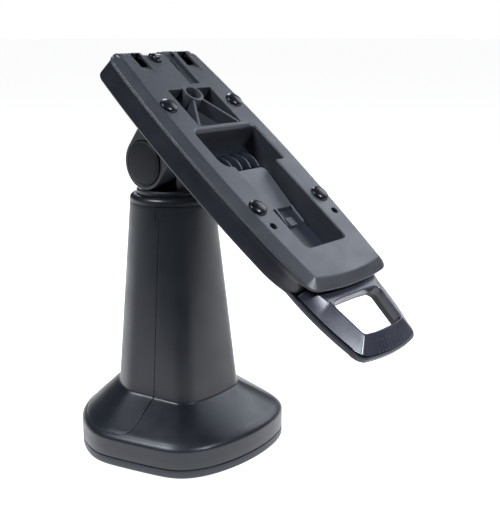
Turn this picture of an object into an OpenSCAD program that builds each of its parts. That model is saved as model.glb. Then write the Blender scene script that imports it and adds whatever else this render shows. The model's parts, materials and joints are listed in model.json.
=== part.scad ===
// Counter-top stand for a card payment terminal.
// A weighted foot and a hollow column carry a swivel neck, a tilt bracket and a terminal cradle
// with a pull-out release handle. Front is -Y, the pole stands on Z, millimetres.

/* [Foot] */
// Radius of the round rear of the foot
foot_rear_r = 74; // [68:0.5:84]
// Distance from the pole axis to the flat sides of the foot
foot_side_d = 70.3; // [66:0.1:76]
// Thickness of the bottom plate, measured from the counter
foot_plate_h = 6.6; // [6.2:0.1:7.0]
// Height of the upright rim above the counter
foot_rim_z = 19.8; // [18:0.1:21]
// Radius of the cable hole through the bottom plate
cable_hole_r = 12.5; // [8:0.5:14]

/* [Column] */
// Height of the seam between the column and its top ring
column_top_z = 176.8; // [170:0.1:185]
// Radius of the column at its top
column_top_r = 29.8; // [29.4:0.1:31]
// Height of the crease between column and foot, on the pole axis
crease_z = 43.6; // [41:0.1:46]
// Thickness of the moulded walls
wall = 2.6; // [2.2:0.1:3]

/* [Swivel and tilt] */
// Height of the tilt axis
pivot_z = 205.1; // [204.6:0.1:212]
// Distance of the tilt axis behind the pole axis
pivot_y = 2.5; // [0:0.1:4]
// Slope of the cradle at rest, from level
tilt = 37.3; // [0:0.1:64]
// Radius of the tilt barrel
barrel_r = 18.2; // [17.6:0.1:18.2]
// Radius of the round end caps
cap_r = 15.5; // [14:0.1:15.6]
// Radius of the tilt bolt
tilt_bolt_r = 6; // [5:0.1:7]
// Radius of the swivel spigot
spigot_r = 13.95; // [13:0.05:14.5]
// Swivel to either side, in degrees
swivel_limit = 165; // [90:5:165]

/* [Cradle] */
// Greatest half width of the cradle face, over its chamfer
cradle_half_w = 46; // [45:0.1:50]
// Height of the face above the tilt axis, square to the face
face_w = 52.2; // [52:0.1:54]
// Depth of the cradle
cradle_depth = 20; // [19:0.1:20.5]
// Width of the sloping edge round the face
chamfer_w = 6.4; // [5:0.1:7]
// Half distance between the terminal screws, across
screw_u = 31.5; // [31:0.1:32.5]
// Radius of the adapter holes
adapter_hole_r = 2.5; // [2:0.1:2.8]

/* [Release handle] */
// Thickness of the handle
handle_h = 6.4; // [5.8:0.1:6.6]
// Half width of the finger opening
finger_half_w = 21.5; // [20:0.5:22]
// Travel of the handle
handle_travel = 6; // [4:0.5:6]

/* [Hidden] */

$fn = 64;
eps = 0.01;
run_gap = 0.05;
seam_gap = 0.2;
plastic = [0.15, 0.165, 0.185];
face_grey = [0.27, 0.28, 0.30];
steel = [0.62, 0.64, 0.66];
rubber = [0.06, 0.06, 0.065];
gloss_black = [0.03, 0.03, 0.035];
handle_blue = [0.24, 0.26, 0.31];

// Plan outlines: [rear radius, rear centre y, side distance, side lean, front radius,
// front centre y, sharpness of the corners]
foot_plan = [foot_rear_r, -6.8, foot_side_d, 14.9, 129.3, 55, 34];
column_plan = [43, -2.6, 39, 16.7, 130, 89.1, 70];
plan_points = 96;
crease_slope = 0.085;
groove_h = 0.6;
shell_z = foot_plate_h + groove_h;
pad_inset = 5;
pad_h = 1.8;

// Flare between rim and column: [share of the way inwards, height above the rim]
shoulder = [[0.02, 1.4], [0.055, 2.6], [0.13, 4.6]];

tube_r = 20;
tube_inner_r = 18;
flange_r = 38;
flange_h = 5;
weight_h = 8;
weight_inset = 6;
foot_bolts = [48, 36];
foot_bolt_r = 2.75;
flange_bolt_r = 30;

// Rear cover screws: [height, where the boss ends]
cover_screw_places = [[64, 37], [126, 32]];
cover_screw_r = 1.7;

ring_z = column_top_z + 0.3;
ring_top_z = ring_z + 5.5;
ring_bore_r = spigot_r + run_gap;
ring_seat_z = 171;
neck_r = 25;
neck_z = ring_top_z + 0.3;
neck_h = 3.4;
stop_r = 19.5;
stop_pin_r = 1.5;
stop_groove_r = 1.9;
stop_floor_z = ring_top_z - 3.6;
stop_pin_h = neck_z + 2 - stop_floor_z;

lug_half_w = 9;
lug_r = 15;
washer_h = 0.5;
cheek_in = lug_half_w + washer_h;
cheek_out = 24;
cap_floor = 21;
bolt_floor = 17.5;
bracket_foot_w = face_w - cradle_depth - 3;

// Cradle outlines: [start, end, place of greatest width, half width, bow, start corner radius,
// end corner radius, bulge of the end]
mid_v = 50;
cradle_plan = [-55.5, 158.8, mid_v, cradle_half_w, 0.00052, 9, 7, 3.6];
tray_plan = [-55.5, 153.6, mid_v, cradle_half_w, 0.00052, 9, 5, 1.2];
handle_plan = [158.4, 203, 150, 38.2, 0.0035, 2, 8, 3.4];
handle_top_plan = [158.4, 194.4, 150, 31.5, 0.0055, 2, 5, 1.6];
chin_plan = [140, 204.4, 150, 39.6, 0.0033, 2, 8, 3.6];
corner_steps = 6;
side_steps = 10;
end_steps = 6;

parting_w = face_w - 5.5;
tray_w = face_w - cradle_depth;
floor_w = tray_w + 2.2;
skin = 2.8;
liner = 1.8;
upper_pocket = [29.4, 26.3, 59.5];
lower_pocket = [20.5, 50, 132];
brace_pocket = [20.3, -13.5, 22];
brace_floor_w = face_w - 10;
ring_v = -9.1;
hook_slot = [16.5, 27.5, -49, -36];
terminal_rows = [1.5, 95];
adapter_row = 110.4;
slider_half_w = 16.8;
slider_w = tray_w + 4.2;
handle_w = tray_w + 4.1;
chin_w = tray_w + 3.7;
neck_half_w = 18.5;
tray_screw_places = [[34, -40], [39.3, 68], [34, 143]];
tray_screw_r = 1.7;
bracket_hole_u = 26.8;
bracket_hole_v = 20.4;
bracket_screw_r = 1.7;
handle_screw_u = 10;
handle_screw_v = 151;
handle_screw_r = 1.7;
handle_screw_head = [3, 1.8];
neck_top_w = handle_w + handle_h - 0.4;
handle_seat_w = neck_top_w - handle_screw_head[1];
finger_rib_u = [-15.5 : 8.3 : 9.5];
spring_u = 24;
spring_start_v = 139;
spring_end_v = spring_start_v + 2 * handle_travel;
ear_h = 7.4;
spring_w = slider_w + 4;
spring_r = 3.2;
spring_wall = 2;
spring_wall_u = 4.5;

// ---- outlines and lofts ----

// Distance from the pole axis, in direction a, to a circle of radius r centred at (0, y)
function to_circle(a, r, y) = y * sin(a) + sqrt(r * r - pow(y * cos(a), 2));

// Distance from the pole axis, in direction a, to the flat sides at distance d
function to_side(a, d, lean) = d / max(abs(cos(a)) * cos(lean) - sin(a) * sin(lean), 0.05);

function plan_radius(a, p) = let (
    k = p[6],
    rear = to_circle(a, p[0], p[1]),
    side = to_side(a, p[2], p[3]),
    front = to_circle(a, p[4], p[5])
) pow(pow(rear, -k) + pow(side, -k) + pow(front, -k), -1 / k);

function foot_radius(a) = plan_radius(a, foot_plan);
function column_radius(a) = plan_radius(a, column_plan);
function plan_angles() = [for (i = [0 : plan_points - 1]) 360 * i / plan_points];
function on_plan(a, r, z) = [r * cos(a), r * sin(a), z];

function foot_outline(inset) =
    [for (a = plan_angles()) let (r = foot_radius(a) - inset) [r * cos(a), r * sin(a)]];

function foot_ring(inset, z) = [for (a = plan_angles()) on_plan(a, foot_radius(a) - inset, z)];

// A ring on the flare: share is the way from the rim (0) to the column (1)
function flare_ring(share, rise, inset) = [for (a = plan_angles())
    on_plan(a, (1 - share) * foot_radius(a) + share * column_radius(a) - inset,
        foot_rim_z + rise - inset)];

function crease_ring(inset) = [for (a = plan_angles()) let (r = column_radius(a) - inset)
    on_plan(a, r, crease_z + crease_slope * r * sin(a) - inset)];

function top_ring_points(inset, z) =
    [for (a = plan_angles()) on_plan(a, column_top_r - inset, z)];

// Half width of a cradle outline at v
function half_width(p, inset, v) = p[3] - inset - p[4] * pow(v - p[2], 2);

function end_bulge(p, x, w) = p[7] * (1 - pow(x / w, 2));

// Right half of a cradle outline as [across, down the slope], from its start to its end
function right_side(p, inset) = let (
    v0 = p[0] + inset,
    v1 = p[1] - inset,
    r0 = max(p[5] - inset, 0.5),
    r1 = max(p[6] - inset, 0.5),
    c0 = half_width(p, inset, v0 + r0) - r0,
    c1 = half_width(p, inset, v1 - r1) - r1,
    w1 = c1 + r1
) concat(
    [for (i = [0 : corner_steps]) let (t = 90 * i / corner_steps)
        [c0 + r0 * sin(t), v0 + r0 - r0 * cos(t)]],
    [for (i = [1 : side_steps - 1]) let (v = v0 + r0 + (v1 - r1 - v0 - r0) * i / side_steps)
        [half_width(p, inset, v), v]],
    [for (i = [0 : corner_steps]) let (t = 90 * i / corner_steps, x = c1 + r1 * cos(t))
        [x, v1 - r1 + r1 * sin(t) + end_bulge(p, x, w1)]],
    [for (i = [1 : end_steps]) let (x = c1 * (1 - i / end_steps)) [x, v1 + end_bulge(p, x, w1)]]
);

// Whole outline in the cradle's own plane, where +y is up the slope
function cradle_outline(p, inset) = let (
    right = right_side(p, inset),
    n = len(right)
) concat(
    [for (i = [n - 1 : -1 : 0]) [right[i][0], -right[i][1]]],
    [for (i = [0 : n - 2]) [-right[i][0], -right[i][1]]]
);

function cradle_ring(p, inset, w) = [for (q = cradle_outline(p, inset)) [q[0], q[1], w]];

// A solid through rings of points that turn anticlockwise, from the lowest to the highest
module loft(rings) {
    n = len(rings[0]);
    last = (len(rings) - 1) * n;
    points = [for (r = rings) each r];
    sides = [for (k = [0 : len(rings) - 2], i = [0 : n - 1])
        let (a = k * n + i, b = k * n + (i + 1) % n)
        each [[a + n, b + n, a], [b + n, b, a]]];
    bottom = [[for (i = [0 : n - 1]) i]];
    top = [[for (i = [n - 1 : -1 : 0]) last + i]];
    polyhedron(points, concat(bottom, sides, top), convexity = 6);
}

// ---- frames and small shapes ----

module at_pivot() {
    translate([0, pivot_y, pivot_z]) rotate([tilt, 0, 0]) children();
}

// Extrudes a (y, z) outline from x0 to x1
module along_x(x0, x1) {
    translate([x0, 0, 0]) rotate([90, 0, 90]) linear_extrude(x1 - x0) children();
}

// A box in the cradle's own frame: half width u, from v0 to v1 down the slope, from w0 to w1
module slope_box(u, v0, v1, w0, w1) {
    translate([-u, -v1, w0]) cube([2 * u, v1 - v0, w1 - w0]);
}

module slope_post(u, v, w0, w1, r) {
    translate([u, -v, w0]) cylinder(h = w1 - w0, r = r);
}

module rounded_slot(p, r, w0, w1) {
    translate([0, 0, w0]) linear_extrude(w1 - w0) union() {
        for (s = [-1, 1], v = [p[1] + r, p[2] - r]) translate([s * (p[0] - r), -v]) circle(r);
        translate([-p[0] + r, -p[2]]) square([2 * (p[0] - r), p[2] - p[1]]);
        translate([-p[0], -p[2] + r]) square([2 * p[0], p[2] - p[1] - 2 * r]);
    }
}

// A dome-headed screw standing on z = 0, its shank below
module dome_screw(head_r, head_h, shank_r, shank_l) {
    ball_r = (head_r * head_r + head_h * head_h) / (2 * head_h);
    intersection() {
        translate([0, 0, head_h - ball_r]) sphere(ball_r, $fn = 64);
        cylinder(h = head_h, r = head_r);
    }
    translate([0, 0, -shank_l]) cylinder(h = shank_l + eps, r = shank_r);
}

module cap_screw(head_r, head_h, shank_r, shank_l) {
    difference() {
        cylinder(h = head_h, r = head_r);
        translate([0, 0, head_h / 2]) cylinder(h = head_h, r = head_r * 0.5, $fn = 6);
    }
    translate([0, 0, -shank_l]) cylinder(h = shank_l + eps, r = shank_r);
}

// ---- foot ----

module foot_bolt_holes(z0, h, r) {
    for (x = [-1, 1], y = [-1, 1])
        translate([x * foot_bolts[0] / 2, y * foot_bolts[1] / 2, z0]) cylinder(h = h, r = r);
}

module foot_pad() {
    color(rubber) difference() {
        linear_extrude(pad_h) polygon(foot_outline(pad_inset));
        translate([0, 0, -1]) cylinder(h = 4, r = cable_hole_r);
        foot_bolt_holes(-1, 4, foot_bolt_r + 3);
    }
}

module foot_plate() {
    recess_h = 1.2;
    bottom_z = pad_h - recess_h;
    color(plastic) difference() {
        union() {
            translate([0, 0, bottom_z + 1]) linear_extrude(foot_plate_h - bottom_z - 1)
                polygon(foot_outline(0));
            loft([foot_ring(1, bottom_z), foot_ring(0, bottom_z + 1)]);
            translate([0, 0, foot_plate_h - eps]) linear_extrude(3)
                polygon(foot_outline(wall + 0.6));
        }
        translate([0, 0, foot_plate_h]) linear_extrude(4) polygon(foot_outline(wall + 2.6));
        translate([0, 0, -1]) linear_extrude(1 + pad_h) polygon(foot_outline(pad_inset - 0.1));
        translate([0, 0, -1]) cylinder(h = foot_plate_h + 2, r = cable_hole_r);
        foot_bolt_holes(-1, foot_plate_h + 2, foot_bolt_r);
        flange_holes(-1, foot_plate_h + 2, 2.2);
    }
}

module flange_holes(z0, h, r) {
    for (a = [0 : 90 : 270]) rotate(a) translate([flange_bolt_r, 0, z0]) cylinder(h = h, r = r);
}

module counterweight() {
    color(steel) difference() {
        translate([0, 0, foot_plate_h]) linear_extrude(weight_h)
            polygon(foot_outline(weight_inset));
        translate([0, 0, foot_plate_h - 1]) cylinder(h = weight_h + 2, r = flange_r + 0.4);
    }
}

module mast_flange() {
    color(steel) difference() {
        translate([0, 0, foot_plate_h]) cylinder(h = flange_h, r = flange_r);
        translate([0, 0, foot_plate_h - 1]) cylinder(h = flange_h + 2, r = tube_r);
        flange_holes(foot_plate_h - 1, flange_h + 2, 2.2);
        foot_bolt_holes(foot_plate_h - 1, flange_h + 2, foot_bolt_r + 2.5);
    }
}

module mast_tube() {
    slot_w = 14;
    slot_h = 24;
    color(steel) difference() {
        translate([0, 0, foot_plate_h]) cylinder(h = ring_seat_z - foot_plate_h, r = tube_r);
        translate([0, 0, foot_plate_h - 1]) cylinder(h = ring_seat_z, r = tube_inner_r);
        // cable slots towards the rear cover
        for (z = [30, 140]) translate([-slot_w / 2, 0, z]) cube([slot_w, tube_r + 5, slot_h]);
        for (q = cover_screw_places) rear_rod(q[0], 10, tube_r + 5, cover_screw_r);
    }
}

module foot_screws() {
    color(steel) for (a = [0 : 90 : 270]) rotate(a)
        translate([flange_bolt_r, 0, foot_plate_h + flange_h]) cap_screw(3.6, 3, 2.2, 8);
}

// ---- column ----

module column_outer() {
    flare = [for (s = shoulder) flare_ring(s[0], s[1], 0)];
    loft(concat([foot_ring(0, shell_z), foot_ring(0, foot_rim_z)], flare,
        [crease_ring(0), top_ring_points(0, column_top_z)]));
}

module column_inner() {
    loft([foot_ring(wall, shell_z - 2), foot_ring(wall, foot_rim_z - 1.5),
        flare_ring(0.13, 3.4, wall), crease_ring(wall), top_ring_points(wall, column_top_z),
        top_ring_points(wall, column_top_z + 2)]);
}

module column_hollow() {
    difference() {
        column_outer();
        column_inner();
    }
}

// The space that the rear cover fills, grown by g on the sides that meet the front shell
module rear_space(g) {
    seam_y = -14;
    tab_y = -11.7;
    tab_z = 165;
    lower_z = 23.9;
    lower_y = -17.6;
    corner_r = 7;
    reach = 100;
    far_x = 100;
    flare_x = 38;
    lean = 0.13;
    intersection() {
        along_x(-reach, reach) union() {
            translate([lower_y - g, lower_z + corner_r]) square([reach, 200]);
            translate([lower_y + corner_r, lower_z - g]) square([reach, 200]);
            translate([lower_y + corner_r, lower_z + corner_r]) circle(corner_r + g);
        }
        translate([0, 0, lower_z - 5]) linear_extrude(tab_z - lower_z + 5 - g) polygon([
            [far_x, reach], [-far_x, reach],
            [-far_x, seam_y - g - lean * (far_x - flare_x)], [-flare_x, seam_y - g],
            [flare_x, seam_y - g], [far_x, seam_y - g - lean * (far_x - flare_x)]]);
    }
    translate([-reach, tab_y - g, tab_z - g - eps]) cube([2 * reach, reach, 20]);
}

module column_shell() {
    color(plastic) difference() {
        column_hollow();
        rear_space(seam_gap);
    }
}

// A rod along +Y at height z, from y0 to y1
module rear_rod(z, y0, y1, r) {
    translate([0, y0, z]) rotate([-90, 0, 0]) cylinder(h = y1 - y0, r = r);
}

module rear_cover() {
    color(plastic) difference() {
        union() {
            intersection() {
                column_hollow();
                rear_space(0);
            }
            // bosses that stand on the mast
            for (q = cover_screw_places) rear_rod(q[0], tube_r + 0.3, q[1], 5);
        }
        for (q = cover_screw_places) {
            rear_rod(q[0], tube_r, q[1] + 1, cover_screw_r);
            rear_rod(q[0], q[1] - 0.6, q[1] + 9, 3.7);
        }
    }
}

module cover_screws() {
    color(steel) for (q = cover_screw_places) translate([0, q[1] - 0.6, q[0]])
        rotate([-90, 0, 0]) cap_screw(3.4, 1.8, cover_screw_r, q[1] - tube_inner_r - 1);
}

// ---- swivel ----

module top_ring() {
    lip_h = 2.2;
    round_r = 3.3;
    seat_r = column_top_r - wall - 0.3;
    color(plastic) difference() {
        rotate_extrude($fn = 96) difference() {
            union() {
                translate([ring_bore_r, ring_seat_z])
                    square([seat_r - ring_bore_r, ring_z - ring_seat_z + eps]);
                translate([ring_bore_r, ring_z])
                    square([column_top_r - round_r - ring_bore_r, ring_top_z - ring_z]);
                translate([column_top_r - round_r - eps, ring_z]) square([round_r + eps, lip_h]);
                translate([column_top_r - round_r, ring_z + lip_h]) intersection() {
                    circle(round_r, $fn = 48);
                    translate([-eps, -eps]) square(round_r + 1);
                }
                translate([tube_r + run_gap, ring_seat_z - 6])
                    square([seat_r - tube_r - run_gap, 6 + eps]);
            }
            translate([ring_bore_r - 1, ring_top_z - 0.4]) square([neck_r - ring_bore_r, 1]);
        }
        // arc groove that the stop pin runs in, closed at the rear
        stop_arc = 2 * swivel_limit + 2 * asin(stop_pin_r / stop_r) + 1;
        rotate(-90 - stop_arc / 2) rotate_extrude(angle = stop_arc, $fn = 96)
            translate([stop_r - stop_groove_r, stop_floor_z])
                square([2 * stop_groove_r, ring_top_z - stop_floor_z + 1]);
    }
}

module thrust_washer() {
    color(rubber) translate([0, 0, ring_top_z - 0.4]) difference() {
        cylinder(h = 0.65, r = stop_r - stop_groove_r - 0.2);
        translate([0, 0, -1]) cylinder(h = 3, r = spigot_r + 0.15);
    }
}

module swivel_neck() {
    spigot_z = 164;
    cable_r = 7.5;
    outlet_z = pivot_z - 15.6;
    color(plastic) difference() {
        union() {
            translate([0, 0, neck_z]) cylinder(h = neck_h - 1, r = neck_r, $fn = 96);
            translate([0, 0, neck_z + neck_h - 1])
                cylinder(h = 1, r1 = neck_r, r2 = neck_r - 1, $fn = 96);
            translate([0, 0, spigot_z]) cylinder(h = neck_z - spigot_z + eps, r = spigot_r);
            translate([0, pivot_y, pivot_z]) along_x(-lug_half_w, lug_half_w) union() {
                circle(lug_r);
                polygon([[-lug_r, 0], [lug_r, 0], [lug_r + 1.5, neck_z + 1 - pivot_z],
                    [-lug_r - 1.5, neck_z + 1 - pivot_z]]);
            }
        }
        // cable way up the spigot and out at the rear of the lug
        translate([0, 0, spigot_z - 1]) cylinder(h = outlet_z - spigot_z + 1, r = cable_r);
        translate([0, 0, outlet_z]) rotate([-90, 0, 0]) cylinder(h = 30, r = 5);
        translate([-lug_half_w - 1, pivot_y, pivot_z]) rotate([0, 90, 0])
            cylinder(h = 2 * lug_half_w + 2, r = tilt_bolt_r + run_gap);
        translate([0, -stop_r, stop_floor_z]) cylinder(h = stop_pin_h, r = stop_pin_r);
    }
}

module stop_pin() {
    clear_h = 0.4;
    color(steel) translate([0, -stop_r, stop_floor_z + clear_h])
        cylinder(h = stop_pin_h - clear_h, r = stop_pin_r);
}

module lock_washer() {
    color(steel) translate([0, 0, ring_seat_z - 1]) difference() {
        cylinder(h = 0.9, r = tube_inner_r - 0.6);
        translate([0, 0, -1]) cylinder(h = 3, r = spigot_r);
    }
}

module swivel_nut() {
    color(steel) translate([0, 0, ring_seat_z - 6]) difference() {
        cylinder(h = 5, r = tube_inner_r - 0.8);
        translate([0, 0, -1]) cylinder(h = 7, r = spigot_r);
        // spanner slots
        for (a = [0 : 60 : 300]) rotate(a) translate([tube_inner_r - 2.2, -1.5, -1])
            cube([4, 3, 3]);
    }
}

// ---- tilt joint ----

module at_axle() {
    translate([0, pivot_y, pivot_z]) children();
}

module friction_washers() {
    color(rubber) at_axle() for (s = [-1, 1]) translate([s * (lug_half_w + washer_h / 2), 0, 0])
        rotate([0, 90, 0]) difference() {
            cylinder(h = washer_h, r = lug_r - 1, center = true);
            cylinder(h = 3, r = tilt_bolt_r + 0.1, center = true);
        }
}

module tilt_bracket() {
    foot_half_u = 30;
    foot_half_v = 24;
    foot_h = face_w - cradle_depth - bracket_foot_w;
    color(plastic) at_pivot() difference() {
        union() {
            for (s = [0, 1]) mirror([s, 0, 0]) along_x(cheek_in, cheek_out) union() {
                circle(barrel_r, $fn = 96);
                translate([-barrel_r, 0]) square([2 * barrel_r, bracket_foot_w]);
            }
            slope_box(foot_half_u, -foot_half_v, foot_half_v, bracket_foot_w,
                bracket_foot_w + foot_h);
        }
        for (s = [0, 1]) mirror([s, 0, 0]) {
            translate([cap_floor, 0, 0]) rotate([0, 90, 0]) cylinder(h = 9, r = cap_r + 0.5);
            translate([bolt_floor, 0, 0]) rotate([0, 90, 0]) cylinder(h = 9, r = 10.5);
        }
        translate([-cheek_out - 1, 0, 0]) rotate([0, 90, 0])
            cylinder(h = 2 * cheek_out + 2, r = tilt_bolt_r);
        bracket_holes();
    }
}

module bracket_holes() {
    for (s = [-1, 1], v = [-1, 1])
        slope_post(s * bracket_hole_u, v * bracket_hole_v, bracket_foot_w - 1,
            bracket_foot_w + 8, bracket_screw_r);
}

module bracket_screws() {
    color(steel) at_pivot() for (s = [-1, 1], v = [-1, 1])
        translate([s * bracket_hole_u, v * bracket_hole_v, bracket_foot_w]) mirror([0, 0, 1])
            cap_screw(2.9, 2, bracket_screw_r, 6);
}

module tilt_bolt() {
    color(steel) at_axle() rotate([0, 90, 0]) {
        translate([0, 0, -bolt_floor]) cylinder(h = 2 * bolt_floor + 3, r = tilt_bolt_r);
        translate([0, 0, -bolt_floor - 3]) difference() {
            cylinder(h = 3, r = 9.5);
            translate([0, 0, -1]) cylinder(h = 2.4, r = 4, $fn = 6);
        }
    }
}

module tilt_nut() {
    color(steel) at_axle() translate([bolt_floor, 0, 0]) rotate([0, 90, 0]) difference() {
        cylinder(h = 2.8, r = 10, $fn = 6);
        translate([0, 0, -1]) cylinder(h = 5, r = tilt_bolt_r);
    }
}

// Domed cap that plugs the end of the barrel
module end_cap() {
    rim_h = 4.2;
    dome_h = 0.9;
    steps = 8;
    dome = [for (i = [0 : steps]) let (r = cap_r * (1 - i / steps))
        [r, rim_h + dome_h * (1 - pow(r / cap_r, 2))]];
    color(plastic) translate([cap_floor, 0, 0]) rotate([0, 90, 0]) rotate_extrude($fn = 96)
        polygon(concat([[0, rim_h - 1.2], [cap_r - 2, rim_h - 1.2], [cap_r - 2, 0], [cap_r, 0]],
            dome));
}

module end_cap_left() {
    at_axle() mirror([1, 0, 0]) end_cap();
}

module end_cap_right() {
    at_axle() end_cap();
}

// ---- cradle ----

module cradle_tray() {
    flare = 2;
    side = 2.4;
    inner_top = parting_w + 1;
    color(plastic) at_pivot() difference() {
        union() {
            difference() {
                loft([cradle_ring(tray_plan, -flare + 1.2, tray_w),
                    cradle_ring(tray_plan, -flare, tray_w + 1.2),
                    cradle_ring(tray_plan, 0.4, parting_w)]);
                loft([cradle_ring(tray_plan, side, floor_w),
                    cradle_ring(tray_plan, side, inner_top)]);
            }
            difference() {
                loft([cradle_ring(chin_plan, 0.8, tray_w), cradle_ring(chin_plan, 0, tray_w + 0.8),
                    cradle_ring(chin_plan, 0, chin_w)]);
                rounded_slot([finger_half_w + 1.2, 166, 195.6], 5, tray_w - 1, chin_w + 1);
                slope_box(60, 100, 153, tray_w - 1, chin_w + 1);
            }
            // screw posts under the face
            for (s = [-1, 1], v = terminal_rows)
                slope_post(s * screw_u, v, floor_w - 0.5, parting_w, 4);
            // ribs with curved tops, above the tongue
            for (u = finger_rib_u) translate([u, 0, 0]) finger_rib();
            // walls that the springs push against
            for (s = [-1, 1])
                translate([s * spring_u - spring_wall_u, -spring_end_v - spring_wall, floor_w - 0.5])
                    cube([2 * spring_wall_u, spring_wall, 9]);
            // small stops under both long edges
            for (s = [-1, 1]) translate([s * 35 - 3, -133, tray_w - 4]) cube([6, 12, 4.5]);
        }
        // slot for the handle in the end wall
        slope_box(neck_half_w + 1, 148, 165, handle_w + 0.1, handle_w + handle_h + 0.4);
        // screw holes
        for (s = [-1, 1], v = terminal_rows)
            slope_post(s * screw_u, v, floor_w + 2, parting_w + 1, 2.2);
        bracket_holes();
        for (s = [-1, 1], q = tray_screw_places)
            slope_post(s * q[0], q[1], tray_w - 1, tray_w + 5, tray_screw_r);
    }
}

module finger_rib() {
    thick = 1.4;
    low = floor_w - 0.5;
    start_v = 39.5;
    end_v = 56;
    top_w = face_w - 8;
    along_x(0, thick) intersection() {
        translate([-end_v, low]) square([end_v - start_v, top_w - low]);
        translate([-end_v, low - 7]) circle(top_w - low + 7);
    }
}

module tray_screws() {
    color(steel) at_pivot() for (s = [-1, 1], q = tray_screw_places)
        translate([s * q[0], -q[1], tray_w]) mirror([0, 0, 1])
            cap_screw(2.8, 1.6, tray_screw_r, 7);
}

module pocket_liner(p, r, w0) {
    rounded_slot([p[0] + liner, p[1] - liner, p[2] + liner], r + liner, w0, face_w - 1);
}

// Slot for a hook of the terminal, with a ramp at its lower end
module hook_slot_cut() {
    ramp_l = 6;
    ramp_h = 2.2;
    width = hook_slot[1] - hook_slot[0];
    translate([hook_slot[0], -hook_slot[3], parting_w - 6])
        cube([width, hook_slot[3] - hook_slot[2], 20]);
    along_x(hook_slot[0], hook_slot[1]) polygon([[-hook_slot[3] - ramp_l, face_w],
        [-hook_slot[3] + eps, face_w - ramp_h], [-hook_slot[3] + eps, face_w + 1],
        [-hook_slot[3] - ramp_l, face_w + 1]]);
}

module cradle_cover() {
    color(face_grey) at_pivot() {
        difference() {
            union() {
                difference() {
                    loft([cradle_ring(cradle_plan, 0, parting_w),
                        cradle_ring(cradle_plan, 0, face_w - 4),
                        cradle_ring(cradle_plan, chamfer_w, face_w)]);
                    loft([cradle_ring(tray_plan, 2.8, parting_w - 1),
                        cradle_ring(tray_plan, 2.8, face_w - 4.6),
                        cradle_ring(tray_plan, chamfer_w + 0.6, face_w - skin)]);
                }
                pocket_liner(upper_pocket, 4, floor_w + 0.1);
                pocket_liner(lower_pocket, 2, floor_w + 0.1);
                pocket_liner(brace_pocket, 1, brace_floor_w - 2);
                for (s = [-1, 1], v = terminal_rows)
                    slope_post(s * screw_u, v, parting_w, face_w - 1, 4);
                for (s = [-1, 1]) slope_post(s * screw_u, adapter_row, parting_w - 4, face_w - 1, 5);
                for (s = [-1, 1], q = tray_screw_places)
                    slope_post(s * q[0], q[1], floor_w + 0.1, face_w - skin + 0.5, 3.2);
                // raised tabs at the top edge
                for (u = [-22, 20]) translate([u - 9, 45, face_w - 3]) cube([18, 4, 3.6]);
            }
            rounded_slot(upper_pocket, 4, floor_w, face_w + 1);
            rounded_slot(lower_pocket, 2, floor_w, face_w + 1);
            rounded_slot(brace_pocket, 1, brace_floor_w, face_w + 1);
            // way for the slider under the lower pocket's end wall
            slope_box(slider_half_w + 0.5, 120, 140, floor_w, slider_w + 3.2);
            for (s = [0, 1]) mirror([s, 0, 0]) hook_slot_cut();
            // shallow groove with a slit beside it
            translate([3.5, 18, face_w - 1.5]) cube([10.5, 40, 4]);
            translate([3.5, 36, face_w - 4]) cube([2.4, 12, 4]);
            for (s = [-1, 1], q = tray_screw_places)
                slope_post(s * q[0], q[1], floor_w, tray_w + 8, tray_screw_r);
            for (s = [-1, 1], v = terminal_rows)
                slope_post(s * screw_u, v, parting_w - 1, face_w + 1, 2.2);
            for (s = [-1, 1])
                slope_post(s * screw_u, adapter_row, parting_w - 3, face_w + 1, adapter_hole_r);
            slope_post(-5.5, -47, parting_w, face_w + 1, 2);
        }
        brace_ribs();
    }
}

// Ring and two ribs that brace the shallow pocket
module brace_ribs() {
    ring_out = 7.6;
    ring_in = 5.5;
    rib_h = face_w - 0.6 - brace_floor_w;
    translate([0, 0, brace_floor_w - eps]) difference() {
        linear_extrude(rib_h) intersection() {
            union() {
                translate([0, -ring_v]) circle(ring_out);
                for (s = [-1, 1]) polygon([[s * 2.2, -ring_v - 6], [s * 4.6, -ring_v - 5],
                    [s * 20.4, -brace_pocket[2] + 0.2], [s * 18.2, -brace_pocket[2] - 0.5]]);
            }
            translate([-brace_pocket[0] - 0.5, -brace_pocket[2] - 0.5])
                square([2 * brace_pocket[0] + 1, brace_pocket[2] - brace_pocket[1] + 1]);
        }
        translate([0, -ring_v, 1]) cylinder(h = 20, r = ring_in);
    }
}

module terminal_screws() {
    color(gloss_black) at_pivot() for (s = [-1, 1], v = terminal_rows)
        translate([s * screw_u, -v, face_w]) dome_screw(5.8, 3.2, 2.2, 9);
}

module hook_stud() {
    color(gloss_black) at_pivot() translate([-5.5, 47, face_w]) dome_screw(4.2, 2.6, 2, 5);
}

// ---- release ----

module release_handle() {
    color(handle_blue) at_pivot() difference() {
        union() {
            loft([cradle_ring(handle_plan, 0.6, handle_w), cradle_ring(handle_plan, 0, handle_w + 0.8),
                cradle_ring(handle_top_plan, 0, handle_w + handle_h)]);
            slope_box(neck_half_w, 146, 162, slider_w + 2, neck_top_w);
        }
        rounded_slot([finger_half_w, 167.4, 193.2], 5, handle_w - 1, handle_w + handle_h + 1);
        for (s = [-1, 1]) {
            slope_post(s * handle_screw_u, handle_screw_v, slider_w, neck_top_w + 1, handle_screw_r);
            slope_post(s * handle_screw_u, handle_screw_v, handle_seat_w, neck_top_w + 1,
                handle_screw_head[0] + 0.15);
        }
    }
}

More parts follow.
